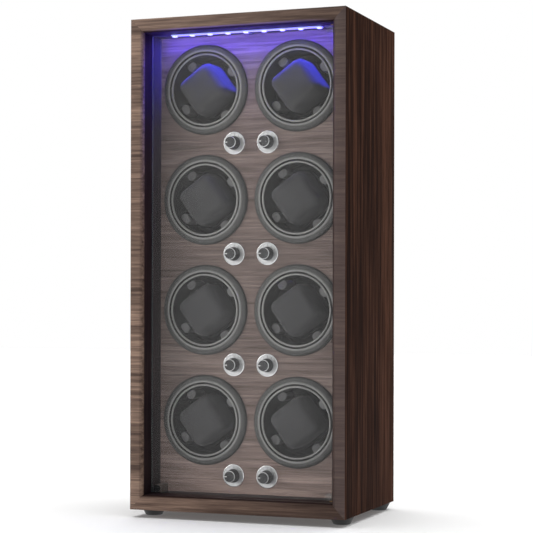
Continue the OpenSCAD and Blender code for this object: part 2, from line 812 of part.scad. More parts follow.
// A circuit board on four pillars, with its relays, chip, jack and capacitor
module control_board() {
    color("#1f6b3a") {
        block(-pcb_w / 2, pcb_w / 2, pcb_depth, pcb_back, pcb_z - pcb_h / 2, pcb_z + pcb_h / 2);
        for (x = [-1, 1], z = [-1, 1])
            behind(x * (pcb_w / 2 - standoff_r - 1), pcb_z + z * (pcb_h / 2 - standoff_r - 1), drive_back)
                cylinder(h = standoff_h, r = standoff_r);
        for (x = [-1, 1], k = [-1.5 : 1.5])
            translate([x * (pcb_w / 2 - relay_inset), 0, pcb_z + k * relay_step])
                block(-relay_w / 2, relay_w / 2, pcb_back, pcb_back + relay_t, -relay_h / 2, relay_h / 2);
        block(-chip_w / 2, chip_w / 2, pcb_back, pcb_back + chip_t, pcb_z - chip_w / 2, pcb_z + chip_w / 2);
        translate([0, 0, pcb_z - jack_rise])
            block(-jack_w / 2, jack_w / 2, pcb_back, pcb_back + chip_t, -jack_w / 2, jack_w / 2);
        behind(0, pcb_z + can_rise, pcb_back) cylinder(h = can_h, r = can_r);
    }
}

// Flat cables glued to the back of the drive board: a trunk, a branch to each motor, and the strip's lead
module wiring_loom() {
    branch_x = cup_pitch_x / 2 - gearbox_d / 2 - fit_gap;
    color("#333338") {
        block(-loom_w / 2, loom_w / 2, drive_back, drive_back + loom_t, motor_z(CUPS) - lead_w, ceiling_z);
        for (k = [0 : ROWS - 1]) translate([0, 0, motor_z(CUPS) + k * cup_pitch_z])
            block(-branch_x, branch_x, drive_back, drive_back + loom_t, -lead_w / 2, lead_w / 2);
        block(-lead_w / 2, lead_w / 2, strip_depth + strip_w, drive_back, ceiling_z - loom_t, ceiling_z);
    }
}

// A barrel socket: flange outside the panel, sleeve and nut inside, a contact pin in its bore
module power_socket() {
    color("#202022") translate([socket_x, panel_y, power_z]) rotate([90, 0, 0]) {
        difference() {
            union() {
                translate([0, 0, -1.5]) cylinder(h = 1.5, r = socket_r + 2);
                cylinder(h = socket_l, r = socket_r);
                translate([0, 0, back_t]) cylinder(h = 2, r = socket_r + 2.5, $fn = 6);
            }
            translate([0, 0, -2]) cylinder(h = socket_l - 1, r = 2.75);
        }
        cylinder(h = socket_l - 3, r = 1.05);
    }
}

module switch_housing() {
    color("#202022") translate([switch_x, panel_y, power_z]) difference() {
        union() {
            translate([0, -6, 0]) cube([switch_w, 12, switch_h], center = true);
            translate([0, 0.75, 0]) cube([switch_w + 4, 1.5, switch_h + 4], center = true);
            for (z = [-5, 5]) translate([0, -14, z]) cube([5, 6, 0.8], center = true);
        }
        translate([0, -2, 0]) cube([rocker_w + 2 * end_play, 10, rocker_h + 2.4], center = true);
        translate([0, -rocker_axis, 0]) rotate([0, 90, 0])
            cylinder(h = rocker_w + 3, r = trunnion_r + run_gap, center = true);
    }
}

module rocker() {
    h = rocker_h / 2;
    color("#2c2c2e") translate([switch_x, panel_y - rocker_axis, power_z]) rotate([-rocker_tilt, 0, 0]) {
        rotate([90, 0, 90]) linear_extrude(rocker_w, center = true)
            polygon([[4.2, -h], [2.8, 0], [4.2, h], [1, h], [-2.8, 3], [-2.8, -3], [1, -h]]);
        rotate([0, 90, 0]) cylinder(h = rocker_w + 2.4, r = trunnion_r, center = true);
    }
}

// ---- Nodes ----

left_side();
right_side();
top_board();
bottom_board();
back_panel();
feet();
door_glass();
door_shoes();
door_strike();
latch_body();
latch_plunger();
faceplate();
bezels();
battens();
drive_board();
bushes();
motors();
belts();
dial_plates();
timer_switches();
switch_nuts();
light_strip();
control_board();
wiring_loom();
power_socket();
switch_housing();
rocker();
screws();
for (n = stations) {
    cup(n);
    pillow(n);
    motor_pulley(n);
    knob(n);
}
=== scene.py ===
"""Looks of a watch winder cabinet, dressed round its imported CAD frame.

Sizes are millimetres in the frame's axes: +Z up, the door facing -Y. A depth is measured back from
the cabinet's front face. Meshes are drafted in millimetres and become metres with their objects.
"""

import json
import logging
import math
from dataclasses import dataclass
from enum import Enum
from typing import Callable, Iterable, Optional, Sequence, Union

import bmesh
import bpy
from mathutils import Euler, Matrix, Vector

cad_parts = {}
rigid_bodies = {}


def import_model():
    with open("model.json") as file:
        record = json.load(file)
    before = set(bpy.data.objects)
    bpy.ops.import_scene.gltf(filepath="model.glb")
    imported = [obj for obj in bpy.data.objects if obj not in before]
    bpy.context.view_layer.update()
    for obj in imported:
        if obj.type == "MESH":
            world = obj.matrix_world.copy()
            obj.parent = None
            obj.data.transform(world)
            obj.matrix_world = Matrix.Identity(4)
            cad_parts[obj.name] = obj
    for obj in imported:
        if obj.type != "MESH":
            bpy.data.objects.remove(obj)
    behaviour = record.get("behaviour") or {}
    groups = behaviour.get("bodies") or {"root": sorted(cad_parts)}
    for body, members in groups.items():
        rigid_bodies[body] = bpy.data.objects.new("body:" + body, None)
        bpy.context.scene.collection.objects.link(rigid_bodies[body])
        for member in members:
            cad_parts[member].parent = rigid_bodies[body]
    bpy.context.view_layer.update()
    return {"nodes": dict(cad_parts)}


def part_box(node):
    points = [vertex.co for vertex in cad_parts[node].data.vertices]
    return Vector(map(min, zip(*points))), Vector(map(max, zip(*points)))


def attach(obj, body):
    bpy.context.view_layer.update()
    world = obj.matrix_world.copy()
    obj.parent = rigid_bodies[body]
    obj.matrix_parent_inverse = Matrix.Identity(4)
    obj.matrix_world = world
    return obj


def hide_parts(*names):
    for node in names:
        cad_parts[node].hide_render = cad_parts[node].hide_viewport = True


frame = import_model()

MM = 0.001
CUPS = range(1, 9)
FULL_TURN = 2 * math.pi
ROUND_MAP = "Round"
SHARP = 38.0  # degrees between two faces from which their edge stays crisp
WELD = 2e-6  # metres between corners of a CAD mesh that count as one
log = logging.getLogger("watch_winder")

Colour = tuple[float, float, float]
Point = tuple[float, float, float]
Placing = Callable[[float, float, float], Point]
Value = Union[float, tuple, bpy.types.NodeSocket]


# ---------------------------------------------------------------- places in the frame


def corners(node: str) -> tuple[Vector, Vector]:
    """Gives a CAD node's box.

    Args:
        node: the CAD node's name.

    Returns:
        Its lowest and highest corner, in millimetres.
    """
    low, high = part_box(node)
    return low / MM, high / MM


def middle(node: str) -> Vector:
    """Gives the middle of a CAD node's box, in millimetres."""
    low, high = corners(node)
    return (low + high) / 2


FRONT_Y = corners("left_side")[0].y


def facing(x: float, z: float) -> Placing:
    """Places a shape that faces the door: across, up and depth, about a point of the front.

    Args:
        x: the point's place across the cabinet.
        z: the point's height.

    Returns:
        A function from across, up and depth to a point of the frame.
    """
    return lambda across, up, depth: (x + across, FRONT_Y + depth, z + up)


def standing(x: float, y: float) -> Placing:
    """Places a shape that stands on the ground about a point, with its depth as height."""
    return lambda across, up, depth: (x + across, y + up, depth)


def hanging(across: float, up: float, depth: float) -> Point:
    """Places a shape that hangs down from the origin."""
    return (across, up, -depth)


def circle(radius: float, depth: float, place: Placing, count: int = 64) -> list[Point]:
    """Gives the points of a circle at one depth."""
    turns = [FULL_TURN * k / count for k in range(count)]
    return [place(radius * math.cos(a), radius * math.sin(a), depth) for a in turns]


def rounded(
    width: float, radius: float, turn: float = 0.0, height: Optional[float] = None, steps: int = 6
) -> list[tuple[float, float]]:
    """Gives a rectangle with round corners about the origin.

    Args:
        width: its width.
        radius: its corners' radius.
        turn: its turn in degrees, anticlockwise from the front.
        height: its height, if it isn't square.
        steps: the number of steps round a corner.

    Returns:
        Its points, anticlockwise.
    """
    half_w, half_h = width / 2 - radius, (width if height is None else height) / 2 - radius
    tilt = math.radians(turn)
    points = []
    for quarter, (sx, sy) in enumerate(((1, 1), (-1, 1), (-1, -1), (1, -1))):
        for k in range(steps + 1):
            a = math.radians(90 * (quarter + k / steps))
            x, y = sx * half_w + radius * math.cos(a), sy * half_h + radius * math.sin(a)
            points.append(
                (x * math.cos(tilt) - y * math.sin(tilt), x * math.sin(tilt) + y * math.cos(tilt))
            )
    return points


def arc(
    centre: tuple[float, float], radii: tuple[float, float], start: float, end: float, steps: int
) -> list[tuple[float, float]]:
    """Gives points on an arc of an ellipse, from one angle to another, in degrees."""
    angles = [math.radians(start + (end - start) * k / steps) for k in range(steps + 1)]
    return [(centre[0] + radii[0] * math.cos(a), centre[1] + radii[1] * math.sin(a)) for a in angles]


# ---------------------------------------------------------------- meshes


def flatten(obj: bpy.types.Object) -> bpy.types.Object:
    """Turns an object with modifiers into a plain mesh object."""
    bpy.context.view_layer.update()
    graph = bpy.context.evaluated_depsgraph_get()
    mesh = bpy.data.meshes.new_from_object(obj.evaluated_get(graph))
    obj.modifiers.clear()
    obj.data = mesh
    mesh.name = obj.name
    return obj


def new_object(name: str, data: bpy.types.ID) -> bpy.types.Object:
    """Links a mesh, a lamp or other data into the scene as an object."""
    made = bpy.data.objects.new(name, data)
    bpy.context.scene.collection.objects.link(made)
    return made


def remove(obj: bpy.types.Object) -> None:
    """Deletes a helper object."""
    bpy.data.objects.remove(obj)


def shade(mesh: bpy.types.Mesh, sharp: float = SHARP) -> None:
    """Smooths a mesh's shading, apart from its edges sharper than an angle in degrees."""
    mesh.shade_smooth()
    mesh.set_sharp_from_angle(angle=math.radians(sharp))


def ease(obj: bpy.types.Object, width: float, by_weight: bool = False) -> bpy.types.Object:
    """Rounds an object's sharp edges a little.

    Args:
        obj: the object, which gets a new mesh.
        width: the width of the rounding, in millimetres.
        by_weight: only round edges that have a bevel weight.

    Returns:
        The same object.
    """
    bevel = obj.modifiers.new("ease", "BEVEL")
    bevel.width = width * MM
    bevel.segments = 2
    bevel.limit_method = "WEIGHT" if by_weight else "ANGLE"
    bevel.angle_limit = math.radians(SHARP)
    bevel.harden_normals = True
    bevel.use_clamp_overlap = True
    return flatten(obj)


class Draft:
    """Closed shells gathered in millimetres, each face with the number of its finish."""

    def __init__(self) -> None:
        """Starts an empty draft."""
        self.points: list[Point] = []
        self.faces: list[list[int]] = []
        self.finish: list[int] = []

    def loft(
        self,
        loops: Sequence[Sequence[Point]],
        finish: int = 0,
        ring: bool = False,
        bands: Optional[dict[int, int]] = None,
    ) -> None:
        """Joins loops of equally many points by walls and closes the ends.

        Args:
            loops: the loops, in order.
            finish: the number of the walls' finish.
            ring: joins the last loop to the first instead of closing the ends.
            bands: finishes of single walls, by the wall's number.
        """
        base, count = len(self.points), len(loops[0])
        for loop in loops:
            self.points.extend(loop)
        pairs = [(k, k + 1) for k in range(len(loops) - 1)] + ([(len(loops) - 1, 0)] if ring else [])
        for band, (a, b) in enumerate(pairs):
            for k in range(count):
                following = (k + 1) % count
                self.faces.append(
                    [base + a * count + k, base + a * count + following,
                     base + b * count + following, base + b * count + k]
                )
                self.finish.append((bands or {}).get(band, finish))
        if not ring:
            for first, number in ((0, 0), (len(loops) - 1, len(pairs) - 1)):
                self.faces.append([base + first * count + k for k in range(count)])
                self.finish.append((bands or {}).get(number, finish))

    def turned(
        self,
        outline: Sequence[tuple[float, float]],
        place: Placing,
        finish: int = 0,
        ring: bool = False,
        bands: Optional[dict[int, int]] = None,
        count: int = 64,
    ) -> None:
        """Turns an outline of radius and depth round its axis."""
        self.loft([circle(r, d, place, count) for r, d in outline], finish, ring, bands)

    def block(self, low: Sequence[float], high: Sequence[float], finish: int = 0) -> None:
        """Adds a block between two corners."""
        loops = [
            [(low[0], low[1], z), (high[0], low[1], z), (high[0], high[1], z), (low[0], high[1], z)]
            for z in (low[2], high[2])
        ]
        self.loft(loops, finish)

    def copy_of(
        self, mesh: bpy.types.Mesh, shift: Point = (0.0, 0.0, 0.0), finish: Optional[int] = None
    ) -> None:
        """Adds a copy of a finished mesh.

        Args:
            mesh: the mesh, in metres.
            shift: how far the copy is moved, in millimetres.
            finish: the number of its finish, if it doesn't keep the mesh's own.
        """
        base = len(self.points)
        self.points.extend(tuple(v.co / MM + Vector(shift)) for v in mesh.vertices)
        for face in mesh.polygons:
            self.faces.append([base + v for v in face.vertices])
            self.finish.append(face.material_index if finish is None else finish)

    def made(self, name: str, finishes: Sequence["Finish"], sharp: float = SHARP) -> bpy.types.Object:
        """Makes the drafted object.

        Args:
            name: the object's name.
            finishes: its finishes, in the order of their numbers.
            sharp: the angle from which an edge is drawn sharp, in degrees.

        Returns:
            The object, at the origin, in metres.
        """
        mesh = bpy.data.meshes.new(name)
        mesh.from_pydata([Vector(p) * MM for p in self.points], [], self.faces)
        for finish in finishes:
            mesh.materials.append(finish.material())
        mesh.polygons.foreach_set("material_index", self.finish)
        shell = bmesh.new()
        shell.from_mesh(mesh)
        bmesh.ops.recalc_face_normals(shell, faces=shell.faces)
        shell.to_mesh(mesh)
        shell.free()
        shade(mesh, sharp)
        return new_object(name, mesh)


def refined(
    node: str,
    name: str,
    finishes: Sequence["Finish"],
    width: float = 0.3,
    pick: Optional[Callable[[Vector, Vector], int]] = None,
    shortest: float = 2.0,
) -> bpy.types.Object:
    """Makes a piece from a CAD node's shape, with its long sharp edges eased.

    Args:
        node: the CAD node that the piece stands for.
        name: the piece's name.
        finishes: its finishes.
        width: the width of the easing, in millimetres.
        pick: gives a face's finish from its centre in millimetres and its normal.
        shortest: the shortest edge that is eased, in millimetres.

    Returns:
        The piece.
    """
    shell = bmesh.new()
    shell.from_mesh(frame["nodes"][node].data)
    bmesh.ops.remove_doubles(shell, verts=shell.verts, dist=WELD)
    flat = math.radians(0.3)
    bmesh.ops.dissolve_limit(shell, angle_limit=flat, verts=shell.verts, edges=shell.edges)
    bmesh.ops.dissolve_degenerate(shell, edges=shell.edges, dist=1e-6)
    weights = shell.edges.layers.float.new("bevel_weight_edge")
    for edge in shell.edges:
        long_enough = len(edge.link_faces) == 2 and edge.calc_length() >= shortest * MM
        if long_enough and edge.calc_face_angle() > math.radians(SHARP):
            edge[weights] = 1.0
    for face in shell.faces:
        face.material_index = pick(face.calc_center_median() / MM, face.normal) if pick else 0
    mesh = bpy.data.meshes.new(name)
    shell.to_mesh(mesh)
    shell.free()
    for finish in finishes:
        mesh.materials.append(finish.material())
    shade(mesh)
    return ease(new_object(name, mesh), width, by_weight=True)


def rides(obj: bpy.types.Object, body: str, slot: str, *nodes: str) -> bpy.types.Object:
    """Puts a finished piece on its body.

    Args:
        obj: the piece.
        body: the CAD body that it moves with.
        slot: the record's material slot; not used.
        nodes: the CAD nodes that it stands for.

    Returns:
        The piece.
    """
    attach(obj, body)
    if nodes:
        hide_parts(*nodes)
    log.info("piece %s: %d faces on %s", obj.name, len(obj.data.polygons), body)
    return obj


def dress(node: str, finish: "Finish") -> None:
    """Gives a CAD node that stays in view its finish."""
    mesh = frame["nodes"][node].data
    mesh.materials.clear()
    mesh.materials.append(finish.material())
    log.info("node %s: %s", node, finish.name)


# ---------------------------------------------------------------- shader trees


def shade_of(red: int, green: int, blue: int) -> Colour:
    """Turns a screen colour of 0 to 255 into the linear colour that a shader takes."""
    parts = [c / 255 for c in (red, green, blue)]
    return tuple(c / 12.92 if c <= 0.04045 else ((c + 0.055) / 1.055) ** 2.4 for c in parts)


class Wiring:
    """Adds nodes to one node tree and joins them up."""

    def __init__(self, tree: bpy.types.NodeTree) -> None:
        """Takes the tree to work on."""
        self.tree = tree

    def feed(self, socket: bpy.types.NodeSocket, value: Value) -> None:
        """Links a socket to another, or gives it a value."""
        if isinstance(value, bpy.types.NodeSocket):
            self.tree.links.new(value, socket)
        elif socket.type == "RGBA" and len(value) == 3:
            socket.default_value = (*value, 1.0)
        else:
            socket.default_value = value

    def node(self, kind: str, inputs: Optional[dict] = None, **settings: object) -> bpy.types.Node:
        """Adds a node.

        Args:
            kind: the node's type.
            inputs: its inputs, by name or number.
            settings: its properties, set before the inputs.

        Returns:
            The node.
        """
        made = self.tree.nodes.new(kind)
        for name, value in settings.items():
            setattr(made, name, value)
        for key, value in (inputs or {}).items():
            self.feed(made.inputs[key], value)
        return made

    def math(self, operation: str, *values: Value) -> bpy.types.NodeSocket:
        """Adds a Math node and gives its result."""
        return self.node("ShaderNodeMath", dict(enumerate(values)), operation=operation).outputs[0]

    def noise(
        self, vector: Value, scale: Value, detail: float = 2.0, roughness: float = 0.5
    ) -> bpy.types.NodeSocket:
        """Adds a Noise Texture and gives its value."""
        inputs = {"Vector": vector, "Scale": scale, "Detail": detail, "Roughness": roughness}
        return self.node("ShaderNodeTexNoise", inputs).outputs[0]

    def span(
        self, value: Value, low: float, high: float, to_low: Value = 0.0, to_high: Value = 1.0
    ) -> bpy.types.NodeSocket:
        """Maps a range of a value to another range, and holds it there."""
        inputs = {"Value": value, "From Min": low, "From Max": high, "To Min": to_low, "To Max": to_high}
        return self.node("ShaderNodeMapRange", inputs).outputs[0]

    def blend(self, share: Value, first: Value, second: Value, how: str = "MIX") -> bpy.types.NodeSocket:
        """Mixes two colours."""
        inputs = {0: share, 6: first, 7: second}
        return self.node("ShaderNodeMix", inputs, data_type="RGBA", blend_type=how).outputs[2]

    def place(self) -> bpy.types.NodeSocket:
        """Gives the object coordinates, which are the frame's own."""
        return self.node("ShaderNodeTexCoord").outputs["Object"]

    def round_place(self) -> tuple[bpy.types.NodeSocket, ...]:
        """Gives the place about the nearest centre of a piece's round map, and its radius."""
        u, v, _ = self.split(self.node("ShaderNodeUVMap", uv_map=ROUND_MAP).outputs[0])
        squares = self.math("ADD", self.math("POWER", u, 2.0), self.math("POWER", v, 2.0))
        return u, v, self.math("SQRT", squares)

    def split(self, vector: Value) -> list[bpy.types.NodeSocket]:
        """Gives the three parts of a vector."""
        return list(self.node("ShaderNodeSeparateXYZ", {0: vector}).outputs)

    def join(self, *parts: Value) -> bpy.types.NodeSocket:
        """Makes a vector of three parts."""
        return self.node("ShaderNodeCombineXYZ", dict(enumerate(parts))).outputs[0]

    def bump(self, height: Value, strength: float, distance: float) -> bpy.types.NodeSocket:
        """Gives the normal of a surface with some relief, whose distance is in millimetres."""
        inputs = {"Strength": strength, "Distance": distance * MM, "Height": height}
        return self.node("ShaderNodeBump", inputs).outputs[0]

    def group(self, tree: bpy.types.NodeTree, inputs: dict) -> bpy.types.NodeOutputs:
        """Places a node group and gives its outputs."""
        return self.node("ShaderNodeGroup", inputs, node_tree=tree).outputs


SOCKETS = {
    "vector": "NodeSocketVector", "number": "NodeSocketFloat", "colour": "NodeSocketColor",
    "geometry": "NodeSocketGeometry", "object": "NodeSocketObject", "material": "NodeSocketMaterial",
    "count": "NodeSocketInt",
}


def effect(
    name: str,
    inputs: dict[str, str],
    outputs: dict[str, str],
    fill: Callable[[Wiring, bpy.types.NodeOutputs, bpy.types.NodeInputs], None],
) -> bpy.types.NodeTree:
    """Gives a shader node group, made at its first use.

    Args:
        name: the group's name.
        inputs: its inputs and their kinds.
        outputs: its outputs and their kinds.
        fill: builds the group between its inputs and outputs.

    Returns:
        The group.
    """
    found = bpy.data.node_groups.get(name)
    if found:
        return found
    tree = bpy.data.node_groups.new(name, "ShaderNodeTree")
    for label, kind in inputs.items():
        tree.interface.new_socket(label, in_out="INPUT", socket_type=SOCKETS[kind])
    for label, kind in outputs.items():
        tree.interface.new_socket(label, in_out="OUTPUT", socket_type=SOCKETS[kind])
    wiring = Wiring(tree)
    given, taken = wiring.node("NodeGroupInput"), wiring.node("NodeGroupOutput")
    fill(wiring, given.outputs, taken.inputs)
    return tree


def wood_grain() -> bpy.types.NodeTree:
    """Gives the effect of veneer whose grain runs along its vector's X."""

    def fill(w: Wiring, given: bpy.types.NodeOutputs, taken: bpy.types.NodeInputs) -> None:
        """Builds growth bands, fine lines and pores."""
        x, y, z = w.split(given["Vector"])
        slow = w.join(w.math("MULTIPLY", x, 0.09), y, z)
        sway = w.math("MULTIPLY", w.math("SUBTRACT", w.noise(slow, 22.0, 2.0), 0.5), given["Sway"])
        y, z = w.math("ADD", y, sway), w.math("ADD", z, sway)
        bands = w.noise(w.join(w.math("MULTIPLY", x, 0.05), y, z), given["Bands"], 2.0, 0.55)
        lines = w.noise(w.join(w.math("MULTIPLY", x, 0.03), y, z), given["Lines"], 4.0, 0.7)
        rings = w.math("SINE", w.math("MULTIPLY", bands, 34.0))
        tone = w.math("ADD", w.math("MULTIPLY", lines, 0.62), w.math("MULTIPLY", bands, 0.38))
        tone = w.math("ADD", tone, w.math("MULTIPLY", rings, 0.035))
        tone = w.math("ADD", w.math("MULTIPLY", w.math("SUBTRACT", tone, 0.5), given["Contrast"]), 0.5)
        colour = w.blend(w.span(tone, 0.25, 0.5), given["Dark"], given["Middle"])
        colour = w.blend(w.span(tone, 0.5, 0.78), colour, given["Light"])
        streaks = w.noise(w.join(w.math("MULTIPLY", x, 0.025), y, z), 1500.0, 1.0, 0.5)
        pores = w.span(streaks, 0.58, 0.7)
        depth = w.math("MULTIPLY", pores, given["Pores"])
        w.feed(taken["Colour"], w.blend(depth, colour, given["Dark"]))
        w.feed(taken["Lines"], lines)
        w.feed(taken["Height"], w.math("SUBTRACT", w.math("MULTIPLY", lines, 0.6), depth))

    inputs = {"Vector": "vector", "Sway": "number", "Bands": "number", "Lines": "number",
              "Contrast": "number", "Pores": "number", "Dark": "colour", "Middle": "colour",
              "Light": "colour"}
    outputs = {"Colour": "colour", "Lines": "number", "Height": "number"}
    return effect("wood grain", inputs, outputs, fill)


def fine_grain() -> bpy.types.NodeTree:
    """Gives the effect of a finely grained moulding: a height, a mask and slow patches."""

    def fill(w: Wiring, given: bpy.types.NodeOutputs, taken: bpy.types.NodeInputs) -> None:
        """Builds a fine and a coarse grain and handling marks."""
        fine = w.noise(given["Vector"], given["Scale"], 2.0, 0.6)
        coarse = w.noise(given["Vector"], w.math("MULTIPLY", given["Scale"], 0.3), 2.0, 0.5)
        w.feed(taken["Height"], w.math("ADD", w.math("MULTIPLY", coarse, 0.6), fine))
        w.feed(taken["Mask"], w.span(fine, 0.4, 0.62))
        w.feed(taken["Patches"], w.span(w.noise(given["Vector"], 28.0, 3.0, 0.6), 0.35, 0.7))

    return effect("fine grain", {"Vector": "vector", "Scale": "number"},
                  {"Height": "number", "Mask": "number", "Patches": "number"}, fill)


# ---------------------------------------------------------------- finishes


def map_round(obj: bpy.types.Object, centres: Sequence[Vector]) -> None:
    """Gives a piece a map of each point's place about the nearest centre, in millimetres."""
    layer = obj.data.uv_layers.new(name=ROUND_MAP)
    for loop in obj.data.loops:
        place = obj.data.vertices[loop.vertex_index].co / MM
        near = min(centres, key=lambda spot: (spot.x - place.x) ** 2 + (spot.z - place.z) ** 2)
        layer.data[loop.index].uv = (place.x - near.x, place.z - near.z)


@dataclass(frozen=True)
class Finish:
    """A finish of the cabinet, whose material is made once and shared."""

    name: str

    def material(self) -> bpy.types.Material:
        """Gives the finish's material."""
        found = bpy.data.materials.get(self.name)
        if found is None:
            found = bpy.data.materials.new(self.name)
            found.use_nodes = True
            shader = found.node_tree.nodes["Principled BSDF"]
            self.build(Wiring(found.node_tree), shader)
        return found

    def build(self, w: Wiring, shader: bpy.types.Node) -> None:
        """Builds the material's nodes round its shader."""


class Grain(Enum):
    """Directions in which wood grain runs."""

    ACROSS = (0, 1, 2)
    UPRIGHT = (2, 0, 1)


@dataclass(frozen=True)
class Wood(Finish):
    """Lacquered or raw wood."""

    grain: Grain
    dark: Colour
    middle: Colour
    light: Colour
    start: float = 0.0
    sway: float = 0.006
    bands: float = 55.0
    lines: float = 300.0
    contrast: float = 1.4
    pores: float = 0.5
    rough: float = 0.5
    gloss: float = 0.25
    relief: float = 0.12
    # painted shade: its colour, the depths behind the front over which it grows in, and its share at the
    # right end
    stain: Optional[Colour] = None
    stained: tuple[float, float] = (0.05, 1.3)
    drift: float = 0.0

    def build(self, w: Wiring, shader: bpy.types.Node) -> None:
        """Builds veneer cut from its own place in the log, with painted shade where a shade colour is given.
        """
        parts = w.split(w.place())
        along, across, through = (parts[k] for k in self.grain.value)
        vector = w.join(w.math("ADD", along, self.start), w.math("ADD", across, self.start), through)
        grain = w.group(wood_grain(), {
            "Vector": vector, "Sway": self.sway, "Bands": self.bands, "Lines": self.lines,
            "Contrast": self.contrast, "Pores": self.pores, "Dark": self.dark,
            "Middle": self.middle, "Light": self.light,
        })
        colour = grain["Colour"]
        # Painted shade: the strip darkens as it rounds back into the reveal, and more towards its right end.
        if self.stain:
            near, far = ((FRONT_Y + depth) * MM for depth in self.stained)
            share = w.span(parts[0], -0.08, 0.13, 0.0, self.drift)
            share = w.math("MAXIMUM", w.span(parts[1], near, far), share)
            colour = w.blend(share, colour, self.stain)
        w.feed(shader.inputs["Base Color"], colour)
        rough = w.span(grain["Lines"], 0.3, 0.7, self.rough + 0.07, self.rough - 0.05)
        w.feed(shader.inputs["Roughness"], rough)
        w.feed(shader.inputs["Normal"], w.bump(grain["Height"], self.relief, 0.25))
        shader.inputs["Specular IOR Level"].default_value = self.gloss


@dataclass(frozen=True)
class Moulding(Finish):
    """Moulded plastic or rubber with a fine grain."""

    colour: Colour
    worn: Colour
    rough: float = 0.42
    scale: float = 2600.0
    relief: float = 0.1
    depth: float = 0.05
    gloss: float = 0.5

    def build(self, w: Wiring, shader: bpy.types.Node) -> None:
        """Builds a grained surface with slow patches of handling."""
        grain = w.group(fine_grain(), {"Vector": w.place(), "Scale": self.scale})
        speckled = w.blend(w.math("MULTIPLY", grain["Mask"], 0.35), self.colour, self.worn)
        handled = w.math("MULTIPLY", grain["Patches"], 0.3)
        w.feed(shader.inputs["Base Color"], w.blend(handled, speckled, self.worn))
        rough = w.span(grain["Patches"], 0.0, 1.0, self.rough - 0.04, self.rough + 0.06)
        w.feed(shader.inputs["Roughness"], rough)
        w.feed(shader.inputs["Normal"], w.bump(grain["Height"], self.relief, self.depth))
        shader.inputs["Specular IOR Level"].default_value = self.gloss


@dataclass(frozen=True)
class Velvet(Finish):
    """Short-pile velvet."""

    colour: Colour
    brushed: Colour

    def build(self, w: Wiring, shader: bpy.types.Node) -> None:
        """Builds pile that lies one way or the other in soft patches."""
        grain = w.group(fine_grain(), {"Vector": w.place(), "Scale": 1900.0})
        lie = w.span(w.noise(w.place(), 90.0, 3.0, 0.6), 0.35, 0.65)
        colour = w.blend(lie, self.colour, self.brushed)
        tips = w.math("MULTIPLY", grain["Mask"], 0.4)
        w.feed(shader.inputs["Base Color"], w.blend(tips, colour, self.brushed))
        w.feed(shader.inputs["Roughness"], w.span(grain["Mask"], 0.0, 1.0, 0.82, 0.95))
        w.feed(shader.inputs["Normal"], w.bump(grain["Height"], 0.02, 0.04))
        shader.inputs["Specular IOR Level"].default_value = 0.05
        shader.inputs["Sheen Weight"].default_value = 0.05
        shader.inputs["Sheen Roughness"].default_value = 0.45


@dataclass(frozen=True)
class Metal(Finish):
    """Plated, spun or turned metal."""

    colour: Colour
    rough: float = 0.3
    streaks: Point = (60.0, 900.0, 60.0)

    def build(self, w: Wiring, shader: bpy.types.Node) -> None:
        """Builds fine tool marks."""
        x, y, z = w.split(w.place())
        parts = [w.math("MULTIPLY", part, by) for part, by in zip((x, y, z), self.streaks)]
        marks = w.noise(w.join(*parts), 1.0, 4.0, 0.7)
        darker = tuple(0.72 * c for c in self.colour)
        w.feed(shader.inputs["Base Color"], w.blend(w.span(marks, 0.3, 0.7), darker, self.colour))
        w.feed(shader.inputs["Roughness"], w.span(marks, 0.3, 0.7, self.rough + 0.12, self.rough - 0.06))
        w.feed(shader.inputs["Normal"], w.bump(marks, 0.08, 0.05))
        shader.inputs["Metallic"].default_value = 1.0


@dataclass(frozen=True)
class SpunDisc(Finish):
    """Silvered metal spun about its own middle."""

    colour: Colour
    rough: float = 0.34

    def build(self, w: Wiring, shader: bpy.types.Node) -> None:
        """Builds rings and a soft fan of light round the disc's middle."""
        u, v, radius = w.round_place()
        rings = w.noise(w.join(radius, 0.0, 0.0), 10.0, 3.0, 0.7)
        fan = w.math("ABSOLUTE", w.math("SINE", w.math("MULTIPLY", w.math("ARCTAN2", v, u), 2.0)))
        darker = tuple(0.74 * c for c in self.colour)
        ringed = w.math("MULTIPLY", w.span(rings, 0.3, 0.7), 0.6)
        tone = w.math("ADD", ringed, w.math("MULTIPLY", fan, 0.4))
        w.feed(shader.inputs["Base Color"], w.blend(tone, darker, self.colour))
        w.feed(shader.inputs["Roughness"], w.span(rings, 0.3, 0.7, self.rough + 0.08, self.rough - 0.05))
        w.feed(shader.inputs["Normal"], w.bump(rings, 0.1, 0.03))
        shader.inputs["Metallic"].default_value = 0.55


@dataclass(frozen=True)
class Ring(Finish):
    """Satin plastic of a round ring: a painted highlight on its narrow flat, painted shade on its roll, rim
    and bore.
    """

    flat: Colour
    roll: Colour
    rim: Colour
    radii: tuple[float, ...] = (43.5, 44.0, 44.8, 46.8, 49.6, 52.0)

    def build(self, w: Wiring, shader: bpy.types.Node) -> None:
        """Builds the painted highlight and shade across the ring, and a fine grain."""
        _, _, radius = w.round_place()
        grain = w.group(fine_grain(), {"Vector": w.place(), "Scale": 2400.0})
        in_from, in_to, roll_from, roll_to, rim_from, rim_to = self.radii
        # The pale flat is a painted highlight; the roll and rim are painted shade, and the bore is painted
        # darker still as the groove's shade.
        speckled = w.blend(w.math("MULTIPLY", grain["Mask"], 0.12), self.flat, self.rim)
        colour = w.blend(w.span(radius, in_from, in_to), tuple(0.3 * c for c in self.rim), speckled)
        colour = w.blend(w.span(radius, roll_from, roll_to), colour, self.roll)
        w.feed(shader.inputs["Base Color"], w.blend(w.span(radius, rim_from, rim_to), colour, self.rim))
        w.feed(shader.inputs["Roughness"], w.span(grain["Patches"], 0.0, 1.0, 0.46, 0.56))
        w.feed(shader.inputs["Normal"], w.bump(grain["Height"], 0.03, 0.03))
        shader.inputs["Specular IOR Level"].default_value = 0.15


